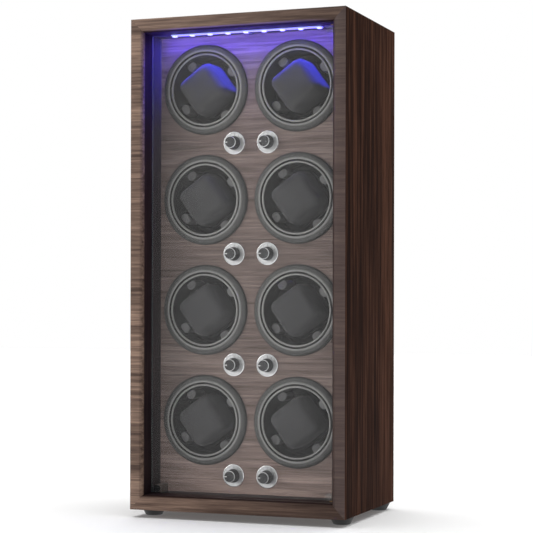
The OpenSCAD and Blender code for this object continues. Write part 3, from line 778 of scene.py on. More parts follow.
@dataclass(frozen=True)
class Pane(Finish):
    """Clear glass with a faint milky veil and a soft mirror."""

    veil: float = 0.05
    haze: Colour = (0.8, 0.8, 0.8)
    body: Colour = (1.0, 1.0, 1.0)
    ior: float = 1.13
    least: float = 0.012
    polish: float = 0.03

    def build(self, w: Wiring, shader: bpy.types.Node) -> None:
        """Builds a see-through sheet whose mirror grows towards a grazing look."""
        smears = w.noise(w.place(), 9.0, 3.0, 0.6)
        w.feed(shader.inputs["Base Color"], self.haze)
        w.feed(shader.inputs["Roughness"], w.span(smears, 0.3, 0.7, 0.25, 0.4))
        clear = w.node("ShaderNodeBsdfTransparent", {"Color": self.body}).outputs[0]
        shine = {"Color": (1.0, 1.0, 1.0), "Roughness": self.polish}
        mirror = w.node("ShaderNodeBsdfGlossy", shine).outputs[0]
        outer = w.math("SUBTRACT", 1.0, w.node("ShaderNodeNewGeometry").outputs["Backfacing"])
        fresnel = w.node("ShaderNodeFresnel", {"IOR": self.ior}).outputs[0]
        slanted = w.math("MAXIMUM", w.math("SUBTRACT", fresnel, self.least), 0.0)
        share = w.math("MULTIPLY", slanted, outer)
        pane = w.node("ShaderNodeMixShader", {0: share, 1: clear, 2: mirror}).outputs[0]
        milk = w.span(smears, 0.3, 0.7, self.veil * 0.93, self.veil * 1.07)
        whole = w.node("ShaderNodeMixShader", {0: milk, 1: pane, 2: shader.outputs[0]}).outputs[0]
        w.feed(w.tree.nodes["Material Output"].inputs[0], whole)


@dataclass(frozen=True)
class Lamp(Finish):
    """A lamp's glowing window; on the strip's board, a painted glow."""

    colour: Colour
    glow: Colour
    strength: float

    def build(self, w: Wiring, shader: bpy.types.Node) -> None:
        """Builds a faintly mottled glow."""
        mottle = w.noise(w.place(), 700.0, 2.0, 0.5)
        faded = tuple(0.8 * c for c in self.glow)
        dimmed = tuple(0.9 * c for c in self.colour)
        w.feed(shader.inputs["Base Color"], w.blend(mottle, self.colour, dimmed))
        w.feed(shader.inputs["Emission Color"], w.blend(w.span(mottle, 0.35, 0.65), faded, self.glow))
        shader.inputs["Emission Strength"].default_value = self.strength
        shader.inputs["Roughness"].default_value = 0.35


@dataclass(frozen=True)
class Layered(Finish):
    """A circuit board: one finish in front of a depth and another behind it."""

    front: Colour
    back: Colour
    depth: float
    rough: float = 0.4

    def build(self, w: Wiring, shader: bpy.types.Node) -> None:
        """Builds the board's lacquer with its traces, and dark parts on it."""
        place = w.place()
        _, y, _ = w.split(place)
        behind = w.math("GREATER_THAN", y, (FRONT_Y + self.depth) * MM)
        traces = w.span(w.noise(place, 420.0, 1.0, 0.4), 0.48, 0.52)
        copper = tuple(1.5 * c for c in self.front)
        lacquer = w.blend(w.math("MULTIPLY", traces, 0.5), self.front, copper)
        w.feed(shader.inputs["Base Color"], w.blend(behind, lacquer, self.back))
        w.feed(shader.inputs["Roughness"], w.span(traces, 0.0, 1.0, self.rough, self.rough + 0.15))


WALNUT = {"dark": shade_of(21, 13, 11), "middle": shade_of(43, 26, 19), "light": shade_of(71, 46, 35),
          "bands": 34.0, "lines": 260.0, "contrast": 2.1, "rough": 0.6}
# Painted light: the front strips are the sides' veneer painted lighter, as lit from the front.
EDGE_PAINTED_LIGHT = {"dark": shade_of(60, 46, 39), "middle": shade_of(95, 77, 67), "light": shade_of(130, 108, 94),
        "bands": 60.0, "lines": 330.0, "contrast": 1.9, "rough": 0.55}
# Painted shade: the right strip is painted darker, as the side turned away from the light.
EDGE_PAINTED_SHADE = {**EDGE_PAINTED_LIGHT, "dark": shade_of(44, 33, 31), "middle": shade_of(63, 51, 48),
          "light": shade_of(82, 68, 63), "contrast": 1.1}
# The inner wood is dark, with a faint blue tint painted in for the strip's blue light.
INNER_PAINTED_BLUE = {"dark": shade_of(14, 8, 10), "middle": shade_of(27, 15, 19), "light": shade_of(45, 28, 30),
         "gloss": 0.2, "rough": 0.45}
# Painted shade where the front strips round into the reveal, and towards the right end of the top and base
# strips.
REVEAL_PAINTED_SHADE = shade_of(26, 13, 11)
WALNUT_SIDE = Wood("walnut side", Grain.UPRIGHT, **WALNUT, gloss=0.004)
WALNUT_TOP = Wood("walnut top", Grain.ACROSS, **WALNUT, start=0.7, gloss=0.02)
LEFT_EDGE = Wood("walnut left edge", Grain.ACROSS, **EDGE_PAINTED_LIGHT, start=0.3, gloss=0.15)
RIGHT_EDGE = Wood("walnut right edge", Grain.ACROSS, **EDGE_PAINTED_SHADE, start=0.9, gloss=0.15, stain=REVEAL_PAINTED_SHADE)
TOP_EDGE = Wood("walnut top edge", Grain.ACROSS, **EDGE_PAINTED_LIGHT, start=1.1, gloss=0.15, stain=REVEAL_PAINTED_SHADE,
                drift=0.6)
BASE_EDGE = Wood("walnut base edge", Grain.ACROSS, **EDGE_PAINTED_LIGHT, start=1.6, gloss=0.1, stain=REVEAL_PAINTED_SHADE,
                 drift=0.75)
WALNUT_REVEAL = Wood("walnut reveal", Grain.UPRIGHT, **INNER_PAINTED_BLUE, start=1.3)
WALNUT_CEILING = Wood("walnut ceiling", Grain.ACROSS, **INNER_PAINTED_BLUE, start=1.9)
WALNUT_PLATE = Wood("walnut faceplate", Grain.ACROSS, shade_of(71, 59, 55), shade_of(100, 86, 81),
                    shade_of(125, 110, 104), start=2.4, bands=80.0, lines=480.0, contrast=1.7,
                    rough=0.6, gloss=0.1)
DARK_PANEL = Wood("dark back panel", Grain.UPRIGHT, shade_of(24, 18, 15), shade_of(36, 28, 24),
                  shade_of(48, 38, 32), start=3.1, contrast=1.0, gloss=0.2, rough=0.6)
BLACK_BOARD = Moulding("black fibreboard", shade_of(34, 34, 35), shade_of(52, 51, 50), rough=0.75,
                       scale=700.0)
SOFTWOOD = Wood("pale softwood", Grain.UPRIGHT, shade_of(150, 110, 70), shade_of(184, 145, 99),
                shade_of(206, 172, 127), start=4.2, contrast=1.6, pores=0.1, rough=0.65)
RUBBER = Moulding("black rubber", shade_of(20, 20, 20), shade_of(38, 38, 38), rough=0.7, scale=1500.0,
                  relief=0.2)
# The bezel's pale flat is a painted highlight, its roll and rim painted shade.
BEZEL_BLACK = Ring("bezel plastic", shade_of(122, 122, 120), shade_of(62, 62, 61), shade_of(38, 38, 38))
CUP_BLACK = Moulding("cup plastic", shade_of(18, 18, 19), shade_of(27, 27, 28), rough=0.62,
                     relief=0.03, depth=0.02, gloss=0.15)
# The cup's pale lip is a painted highlight on the same black plastic.
CUP_LIP_PAINTED_HIGHLIGHT = Moulding("cup lip", shade_of(112, 112, 110), shade_of(128, 128, 126), rough=0.4, relief=0.04)
PAD_GREY = Moulding("grip pad rubber", shade_of(98, 98, 98), shade_of(134, 134, 134), rough=0.62,
                    scale=1100.0, relief=0.5, depth=0.15, gloss=0.3)
KNOB_BLACK = Moulding("knob plastic", shade_of(20, 20, 22), shade_of(74, 74, 76), rough=0.5, scale=1500.0,
                      relief=0.3, gloss=0.2)
KNOB_RING = Moulding("knob ring", shade_of(206, 207, 208), shade_of(226, 227, 228), rough=0.35)
POINTER_WHITE = Moulding("pointer paint", shade_of(222, 222, 220), shade_of(236, 236, 234), rough=0.5)
MARK_INK = Moulding("dial ink", shade_of(40, 41, 44), shade_of(60, 61, 64), rough=0.6)
HOUSING_BLACK = Moulding("housing plastic", shade_of(32, 32, 33), shade_of(50, 50, 51), rough=0.5,
                         scale=1800.0)
NYLON = Moulding("white nylon", shade_of(206, 206, 198), shade_of(222, 222, 216), rough=0.45)
CABLE = Moulding("ribbon cable", shade_of(54, 54, 58), shade_of(74, 74, 78), rough=0.5, scale=900.0)
LATCH_BROWN = Moulding("latch plastic", shade_of(98, 86, 79), shade_of(116, 102, 95), rough=0.6,
                       gloss=0.2)
STEEL = Metal("plated steel", shade_of(190, 192, 196), rough=0.3)
BLACK_STEEL = Metal("black steel", shade_of(44, 44, 46), rough=0.42)
BRONZE = Metal("sintered bronze", shade_of(176, 142, 92), rough=0.45, streaks=(900.0, 900.0, 900.0))
DIAL_SILVER = SpunDisc("spun dial", shade_of(216, 217, 218))
DIAL_RIM = Metal("dial rim", shade_of(240, 241, 242), rough=0.2)
VELVET = Velvet("grey velvet", shade_of(47, 47, 48), shade_of(57, 57, 58))
THREAD = Moulding("seam thread", shade_of(40, 40, 42), shade_of(60, 60, 62), rough=0.7, relief=0.3)
GLASS = Pane("door glass", veil=0.05, haze=(0.32, 0.32, 0.32))
GLASS_EDGE = Pane("door glass edge", veil=0.15, haze=(0.4, 0.48, 0.47), body=(0.74, 0.83, 0.81))
ACRYLIC = Pane("clear acrylic", veil=0.04, body=(0.93, 0.94, 0.94))
LED = Lamp("lamp window", (0.6, 0.64, 0.8), (0.5, 0.6, 0.95), 1.0)
# The strip's board is no lamp: its glow is painted light.
STRIP_PAINTED_GLOW = Lamp("strip lacquer", (0.4, 0.4, 0.8), (0.32, 0.36, 0.85), 1.0)


# ---------------------------------------------------------------- repeated parts

Spread = Callable[[Wiring, bpy.types.NodeOutputs], tuple[bpy.types.NodeSocket, Value]]


def repeater(name: str, inputs: dict[str, str], spread: Spread) -> bpy.types.NodeTree:
    """Gives the geometry nodes that set one part on many points, made at their first use.

    Args:
        name: the tree's name.
        inputs: its own inputs and their kinds, besides the part and its material.
        spread: gives the points and the parts' turns.

    Returns:
        The tree.
    """
    found = bpy.data.node_groups.get(name)
    if found:
        return found
    tree = bpy.data.node_groups.new(name, "GeometryNodeTree")
    every = {"Geometry": "geometry", "Part": "object", "Material": "material", **inputs}
    for label, kind in every.items():
        tree.interface.new_socket(label, in_out="INPUT", socket_type=SOCKETS[kind])
    tree.interface.new_socket("Geometry", in_out="OUTPUT", socket_type=SOCKETS["geometry"])
    w = Wiring(tree)
    given, taken = w.node("NodeGroupInput").outputs, w.node("NodeGroupOutput")
    points, turns = spread(w, given)
    part = w.node("GeometryNodeObjectInfo", {"Object": given["Part"]}).outputs["Geometry"]
    placed = {"Points": points, "Instance": part, "Rotation": turns}
    parts = w.node("GeometryNodeInstanceOnPoints", placed).outputs[0]
    whole = w.node("GeometryNodeRealizeInstances", {"Geometry": parts}).outputs[0]
    dressed = {"Geometry": whole, "Material": given["Material"]}
    w.feed(taken.inputs["Geometry"], w.node("GeometryNodeSetMaterial", dressed).outputs[0])
    return tree


def ring_of_parts() -> bpy.types.NodeTree:
    """Gives the repeater that turns a part step by step about a line towards the door."""

    def spread(w: Wiring, given: bpy.types.NodeOutputs) -> tuple[bpy.types.NodeSocket, Value]:
        """Stacks the points at the middle and turns the parts by their number."""
        inputs = {"Count": given["Count"], "Start Location": given["Middle"], "Offset": (0.0, 0.0, 0.0)}
        line = w.node("GeometryNodeMeshLine", inputs, mode="OFFSET").outputs[0]
        number = w.node("GeometryNodeInputIndex").outputs[0]
        angle = w.math("ADD", given["Start"], w.math("MULTIPLY", number, given["Step"]))
        return line, w.join(0.0, w.math("MULTIPLY", angle, -1.0), 0.0)

    return repeater("ring of parts", {"Count": "count", "Middle": "vector", "Start": "number",
                                      "Step": "number"}, spread)


def row_of_parts() -> bpy.types.NodeTree:
    """Gives the repeater that sets a part step by step along a straight line."""

    def spread(w: Wiring, given: bpy.types.NodeOutputs) -> tuple[bpy.types.NodeSocket, Value]:
        """Sets the points one step apart."""
        inputs = {"Count": given["Count"], "Start Location": given["Start"], "Offset": given["Step"]}
        return w.node("GeometryNodeMeshLine", inputs, mode="OFFSET").outputs[0], (0.0, 0.0, 0.0)

    return repeater("row of parts", {"Count": "count", "Start": "vector", "Step": "vector"}, spread)


def parts_at_points() -> bpy.types.NodeTree:
    """Gives the repeater that sets a part on every point of a mesh."""

    def spread(w: Wiring, given: bpy.types.NodeOutputs) -> tuple[bpy.types.NodeSocket, Value]:
        """Takes the carrier's own points."""
        return given["Geometry"], given["Turn"]

    return repeater("parts at points", {"Turn": "vector"}, spread)


def stitches_on_path() -> bpy.types.NodeTree:
    """Gives the repeater that lays a stitch at even steps along a mesh's edges."""

    def spread(w: Wiring, given: bpy.types.NodeOutputs) -> tuple[bpy.types.NodeSocket, Value]:
        """Spaces the points along the path and turns the stitches along it."""
        path = w.node("GeometryNodeMeshToCurve", {"Mesh": given["Geometry"]}).outputs[0]
        steps = {"Curve": path, "Length": given["Spacing"]}
        spaced = w.node("GeometryNodeResampleCurve", steps, mode="LENGTH").outputs[0]
        way = w.node("GeometryNodeInputTangent").outputs[0]
        turn = w.node("FunctionNodeAlignRotationToVector", {"Vector": way}, axis="X").outputs[0]
        return spaced, turn

    return repeater("stitches on a path", {"Spacing": "number"}, spread)


def repeated(
    name: str,
    tree: bpy.types.NodeTree,
    part: bpy.types.Object,
    finish: Finish,
    points: Optional[Iterable[Point]] = None,
    path: Sequence[Sequence[int]] = (),
    **inputs: object,
) -> bpy.types.Object:
    """Repeats a part and gives the plain mesh object.

    Args:
        name: the new object's name.
        tree: the repeater.
        part: the part, which is removed afterwards.
        finish: the parts' finish.
        points: the carrier's points, in millimetres.
        path: the carrier's edges.
        inputs: values of the repeater's own inputs, by their names.

    Returns:
        The object.
    """
    mesh = bpy.data.meshes.new(name)
    mesh.from_pydata([Vector(p) * MM for p in points or ()], list(path), [])
    carrier = new_object(name, mesh)
    modifier = carrier.modifiers.new("repeat", "NODES")
    modifier.node_group = tree
    sockets = {item.name: item.identifier for item in tree.interface.items_tree if item.in_out == "INPUT"}
    for label, value in {"Part": part, "Material": finish.material(), **inputs}.items():
        modifier[sockets[label]] = value
    flatten(carrier)
    remove(part)
    return carrier


def moved_copy(mesh: bpy.types.Mesh, name: str, shift: Vector) -> bpy.types.Object:
    """Makes an object of a mesh's copy, shifted by some millimetres."""
    made = mesh.copy()
    made.name = name
    made.transform(Matrix.Translation(shift * MM))
    return new_object(name, made)


# ---------------------------------------------------------------- the box


@dataclass
class Box:
    """The cabinet's boards, its dark inside and what stands on the ground."""

    easing: float = 0.35
    lip: float = 4.6
    foot_r: float = 13.75
    board_depth: float = 102.55

    def board(self, node: str, name: str, outside: Wood, edge: Wood, reveal: Wood, inner: Vector) -> None:
        """Makes one board, whose front strip and inner face have grain of their own."""

        def pick(centre: Vector, normal: Vector) -> int:
            """Tells the front strip and the inner face from the rest."""
            if centre.y < FRONT_Y + self.lip and normal.y < -0.02:
                return 1
            return 2 if normal.dot(inner) > 0.7 else 0

        board = refined(node, name, (outside, edge, reveal), self.easing, pick, shortest=4.0)
        rides(board, "cabinet", "walnut", node)

    def back(self) -> None:
        """Makes the back panel."""
        panel = refined("back_panel", "back_panel_piece", (DARK_PANEL,), 0.3)
        rides(panel, "cabinet", "dark_panel", "back_panel")

    def feet(self) -> None:
        """Makes the four rubber feet, hollow for their screws."""
        low, high = corners("feet")
        top = high.z
        outline = ((1.6, top), (13.4, top), (13.7, top - 0.3), (13.65, top - 0.8), (9.9, 0.9), (9.6, 0.35),
                   (9.0, 0.0), (4.5, 0.0), (4.0, 0.5), (4.0, top - 2.5), (1.6, top - 2.5))
        draft = Draft()
        for x in (low.x + self.foot_r, high.x - self.foot_r):
            for y in (low.y + self.foot_r, high.y - self.foot_r):
                draft.turned(outline, standing(x, y), ring=True)
        rides(draft.made("rubber_feet", (RUBBER,)), "cabinet", "rubber", "feet")

    def build(self) -> None:
        """Builds the boards, the back, the feet and the plain inner parts."""
        for node, name, outside, edge, reveal, inner in (
            ("left_side", "left_board", WALNUT_SIDE, LEFT_EDGE, WALNUT_REVEAL, (1, 0, 0)),
            ("right_side", "right_board", WALNUT_SIDE, RIGHT_EDGE, WALNUT_REVEAL, (-1, 0, 0)),
            ("top_board", "lid_board", WALNUT_TOP, TOP_EDGE, WALNUT_CEILING, (0, 0, -1)),
            ("bottom_board", "base_board", WALNUT_TOP, BASE_EDGE, WALNUT_CEILING, (0, 0, 1)),
        ):
            self.board(node, name, outside, edge, reveal, Vector(inner))
        self.back()
        self.feet()
        for node, finish in (
            ("faceplate", WALNUT_PLATE), ("battens", SOFTWOOD), ("drive_board", BLACK_BOARD),
            ("wiring_loom", CABLE), ("timer_switches", STEEL), ("switch_nuts", STEEL),
            ("motors", STEEL), ("belts", RUBBER), ("bushes", BRONZE),
        ):
            dress(node, finish)
        for number in CUPS:
            dress(f"motor_pulley_{number}", NYLON)
        dress("control_board", Layered("control board", shade_of(22, 84, 48), shade_of(30, 30, 32),
                                       self.board_depth))


def loose_shells(node: str) -> list[tuple[Vector, Vector]]:
    """Gives the box of each unconnected shell of a CAD node, in millimetres."""
    whole = bmesh.new()
    whole.from_mesh(frame["nodes"][node].data)
    bmesh.ops.remove_doubles(whole, verts=whole.verts, dist=WELD)
    boxes = []
    unseen = set(whole.verts)
    while unseen:
        reached, waiting = [], [unseen.pop()]
        while waiting:
            vertex = waiting.pop()
            reached.append(vertex.co / MM)
            for link in vertex.link_edges:
                other = link.other_vert(vertex)
                if other in unseen:
                    unseen.discard(other)
                    waiting.append(other)
        low, high = (Vector([limit(p[k] for p in reached) for k in range(3)]) for limit in (min, max))
        boxes.append((low, high))
    whole.free()
    return boxes


@dataclass
class Fasteners:
    """The screws, each where the frame has one."""

    head: float = 2.8
    head_t: float = 1.8
    shank: float = 1.45
    tip: float = 1.6

    def cross(self, length: float, width: float, depth: float, count: int) -> list[Point]:
        """Gives the outline of a cross recess at one depth."""
        points = []
        for k in range(count):
            a = FULL_TURN * k / count
            c, s = max(abs(math.cos(a)), 1e-9), max(abs(math.sin(a)), 1e-9)
            reach = max(min(length / c, width / s), min(width / c, length / s))
            points.append(hanging(reach * math.cos(a), reach * math.sin(a), depth))
        return points

    def screw(self, length: float) -> bpy.types.Object:
        """Makes one screw of a length, whose head ends at the origin and faces +Z."""
        count, head, t = 32, self.head, self.head_t
        recess = ((0.35, 0.1, 1.2), (1.45, 0.3, 0.25), (1.5, 0.33, 0.06))
        body = ((0.66 * head, 0.0), (0.86 * head, 0.2), (0.97 * head, 0.6), (head, 1.1), (head, t),
                (self.shank, t), (self.shank, length - self.tip), (0.3, length))
        draft = Draft()
        draft.loft([self.cross(*step, count) for step in recess] +
                   [circle(r, d, hanging, count) for r, d in body])
        return draft.made("screw", (STEEL,), 30.0)

    def build(self) -> None:
        """Sets the screws in groups that point the same way."""
        heads: dict[tuple[float, Point], list[Point]] = {}
        for low, high in loose_shells("screws"):
            x, y, z = (low + high) / 2
            upright = high.z - low.z > high.y - low.y
            length = round(high.z - low.z if upright else high.y - low.y, 2)
            turn = (math.pi, 0.0, 0.0) if upright else (-math.pi / 2, 0.0, 0.0)
            heads.setdefault((length, turn), []).append((x, y, low.z) if upright else (x, high.y, z))
        for number, ((length, turn), points) in enumerate(sorted(heads.items()), 1):
            name = f"screws_set_{number}"
            made = repeated(name, parts_at_points(), self.screw(length), STEEL, points, Turn=turn)
            rides(made, "cabinet", "steel", "screws")


# ---------------------------------------------------------------- the door


def small_part(node: str, body: str, slot: str, finish: Finish, width: float) -> None:
    """Makes a small piece of hardware from its CAD node, with every edge eased."""
    rides(refined(node, f"{node}_piece", (finish,), width, shortest=0.2), body, slot, node)


@dataclass
class Door:
    """The frameless glass door, its pivot shoes and its latch."""

    def build(self) -> None:
        """Builds the pane and its small hardware."""
        def pick(centre: Vector, normal: Vector) -> int:
            """Tells the pane's ground edges from its faces."""
            return 0 if abs(normal.y) > 0.7 else 1

        glass = refined("door_glass", "glass_pane", (GLASS, GLASS_EDGE), 0.4, pick)
        rides(glass, "door", "glass", "door_glass")
        small_part("door_shoes", "door", "clear_acrylic", ACRYLIC, 0.4)
        small_part("door_strike", "door", "black_metal", BLACK_STEEL, 0.25)
        small_part("latch_body", "cabinet", "latch_brown", LATCH_BROWN, 0.5)
        small_part("latch_plunger", "latch", "latch_brown", LATCH_BROWN, 0.4)


@dataclass
class PowerInlet:
    """The power socket and the rocker switch in the back."""

    easing: float = 0.4

    def build(self) -> None:
        """Builds the socket, the switch's housing and its rocker."""
        small_part("power_socket", "cabinet", "housing_black", HOUSING_BLACK, 0.3)
        small_part("switch_housing", "cabinet", "housing_black", HOUSING_BLACK, self.easing)
        small_part("rocker", "power_rocker", "housing_black", HOUSING_BLACK, self.easing)


@dataclass
class LightStrip:
    """The strip of lamps under the cabinet's ceiling."""

    count: int = 9
    pitch: float = 22.0
    lamp: float = 5.0
    lamp_t: float = 1.6

    def lamp_part(self) -> bpy.types.Object:
        """Makes one lamp's glowing window, hanging below the origin."""
        side, drop = self.lamp, self.lamp_t
        steps = ((side, 0.5, -0.1), (side, 0.5, drop - 0.5), (side - 0.3, 0.5, drop - 0.3),
                 (side - 0.9, 1.2, drop))
        draft = Draft()
        draft.loft([[hanging(u, v, d) for u, v in rounded(w, r, steps=2)] for w, r, d in steps])
        return draft.made("lamp", (LED,))

    def build(self) -> None:
        """Builds the strip and its row of lamps."""
        low, high = corners("light_strip")
        draft = Draft()
        draft.block((low.x, low.y, low.z + self.lamp_t), (high.x, high.y, high.z))
        # The board glows as painted light, joining the lamps into one line.
        strip = ease(draft.made("strip_board", (STRIP_PAINTED_GLOW,)), 0.15)
        rides(strip, "cabinet", "lamp", "light_strip")
        first = Vector((-self.pitch * (self.count - 1) / 2, (low.y + high.y) / 2, low.z + self.lamp_t))
        lamps = repeated("strip_lamps", row_of_parts(), self.lamp_part(), LED, Count=self.count,
                         Start=first * MM, Step=(self.pitch * MM, 0.0, 0.0))
        rides(lamps, "cabinet", "lamp", "light_strip")


# ---------------------------------------------------------------- the cups


@dataclass
class CupPlaces:
    """Depths and radii that the bezels, cups and cushions share."""

    plate_front: float = 49.0
    lip: float = 44.0
    floor: float = 82.0
    floor_back: float = 84.5
    bore: float = 39.5
    rim: float = 41.8
    turn: float = 36.0

    def centre(self, number: int) -> Vector:
        """Gives the middle of a numbered cup, in millimetres."""
        return middle(f"cup_{number}")


PLACES = CupPlaces()


@dataclass
class Bezels:
    """The rings round the cups' openings."""

    bore: float = 43.3
    crest: float = 46.2
    sleeve: float = 47.5
    flange: float = 52.0
    rise: float = 5.0
    edge: float = 0.8
    reach: float = 9.0

    def outline(self) -> list[tuple[float, float]]:
        """Gives a ring's section, from its bore's back round the crest to its sleeve."""
        front, back = PLACES.plate_front, PLACES.plate_front + self.reach
        top, seat = front - self.rise, front - 0.05
        section = [(self.bore, back), (self.bore, top + 0.7), (self.bore + 0.2, top + 0.2),
                   (self.bore + 0.8, top), (self.crest - 0.9, top)]
        roll = (self.flange - self.crest, self.rise - self.edge)
        section += arc((self.crest, front - self.edge), roll, -90, 0, 12)
        section += [(self.flange, seat), (self.sleeve, seat), (self.sleeve, back)]
        return section

    def build(self) -> None:
        """Turns one moulded ring round each opening."""
        outline = self.outline()
        draft = Draft()
        for number in CUPS:
            centre = PLACES.centre(number)
            draft.turned(outline, facing(centre.x, centre.z), ring=True, count=96)
        made = draft.made("bezel_rings", (BEZEL_BLACK,), 50.0)
        map_round(made, [PLACES.centre(number) for number in CUPS])
        rides(made, "cabinet", "bezel_black", "bezels")


@dataclass
class Cups:
    """The turning cups, each with its pads, its cradle, its pulley and its spindle."""

    pad_w: float = 12.0
    pad_reach: float = 31.0
    pad_front: float = 56.0
    cradle: float = 53.2
    seat: float = 79.0

    def outline(self) -> list[tuple[float, float]]:
        """Gives the section of the bowl and its pulley, from the floor's middle outwards."""
        bore, rim, lip = PLACES.bore, PLACES.rim, PLACES.lip
        section = [(2.0, PLACES.floor), (bore - 2.0, PLACES.floor)]
        section += arc((bore - 2.0, PLACES.floor - 2.0), (2.0, 2.0), 90, 0, 4)[1:]
        section += [(bore, lip + 1.15)]
        section += arc((bore + 1.15, lip + 1.15), (1.15, 1.15), 180, 360, 8)[1:]
        section += [(rim, PLACES.floor_back - 3.0), (rim - 3.0, PLACES.floor_back)]
        pulley = [(26.0, 84.55), (26.0, 85.8), (25.8, 86.0), (24.4, 86.1), (24.0, 86.5), (24.0, 89.1),
                  (24.4, 89.5), (25.8, 89.6), (26.0, 89.8), (26.0, 91.1)]
        hub = [(8.0, 91.1), (8.0, 93.1), (2.0, 93.1)]
        return section + pulley + hub

    def pads(self, draft: Draft, place: Placing) -> None:
        """Adds the four grip pads on the bowl's wall."""
        length = PLACES.bore + 0.8 - self.pad_reach
        mid = (PLACES.bore + 0.8 + self.pad_reach) / 2
        for quarter in range(4):
            a = math.radians(PLACES.turn + 90 * quarter)

            def turned(points: list[tuple[float, float]], depth: float) -> list[Point]:
                """Turns an outline to its place on the wall."""
                return [place((mid + u) * math.cos(a) - v * math.sin(a),
                              (mid + u) * math.sin(a) + v * math.cos(a), depth) for u, v in points]

            loops = []
            for shrink, depth in ((1.2, 0.0), (0.5, 0.25), (0.12, 0.75), (0.0, 1.4), (0.0, 26.2)):
                shape = rounded(length - shrink, 4.4 - shrink / 2, height=self.pad_w - 2 * shrink)
                loops.append(turned([(u - shrink / 2, v) for u, v in shape], self.pad_front + depth))
            draft.loft(loops, 1)

    def build(self) -> None:
        """Builds the first cup and copies it to the other places."""
        first = PLACES.centre(1)
        place = facing(first.x, first.z)
        draft = Draft()
        section = self.outline()
        # The lip's walls get the pale finish, a painted highlight.
        lip = {k: 3 for k in range(len(section) - 1) if section[k][1] < PLACES.lip + 1.2}
        draft.turned(section, place, bands=lip, count=96)
        self.pads(draft, place)
        steps = ((0.0, 10.1, 82.2), (0.0, 10.1, 76.5), (0.6, 9.8, 76.0), (3.0, 8.6, 76.0),
                 (3.6, 8.3, 76.4), (3.6, 8.3, self.seat))
        draft.loft([[place(u, v, depth) for u, v in rounded(self.cradle - less, r, PLACES.turn)]
                    for less, r, depth in steps])
        spindle = ((1.0, 93.0), (3.0, 93.0), (3.0, 109.3), (2.6, 109.7), (1.0, 109.7))
        washer = ((2.9, 107.2), (6.0, 107.2), (6.0, 108.2), (2.9, 108.2))
        draft.turned(spindle, place, 2, count=32)
        draft.turned(washer, place, 2, ring=True, count=32)
        made = draft.made("cup_piece_1", (CUP_BLACK, PAD_GREY, STEEL, CUP_LIP_PAINTED_HIGHLIGHT), 42.0)
        for number in CUPS:
            cup = made if number == 1 else moved_copy(
                made.data, f"cup_piece_{number}", PLACES.centre(number) - first)
            rides(cup, f"rotor_{number}", "cup_black", f"cup_{number}")


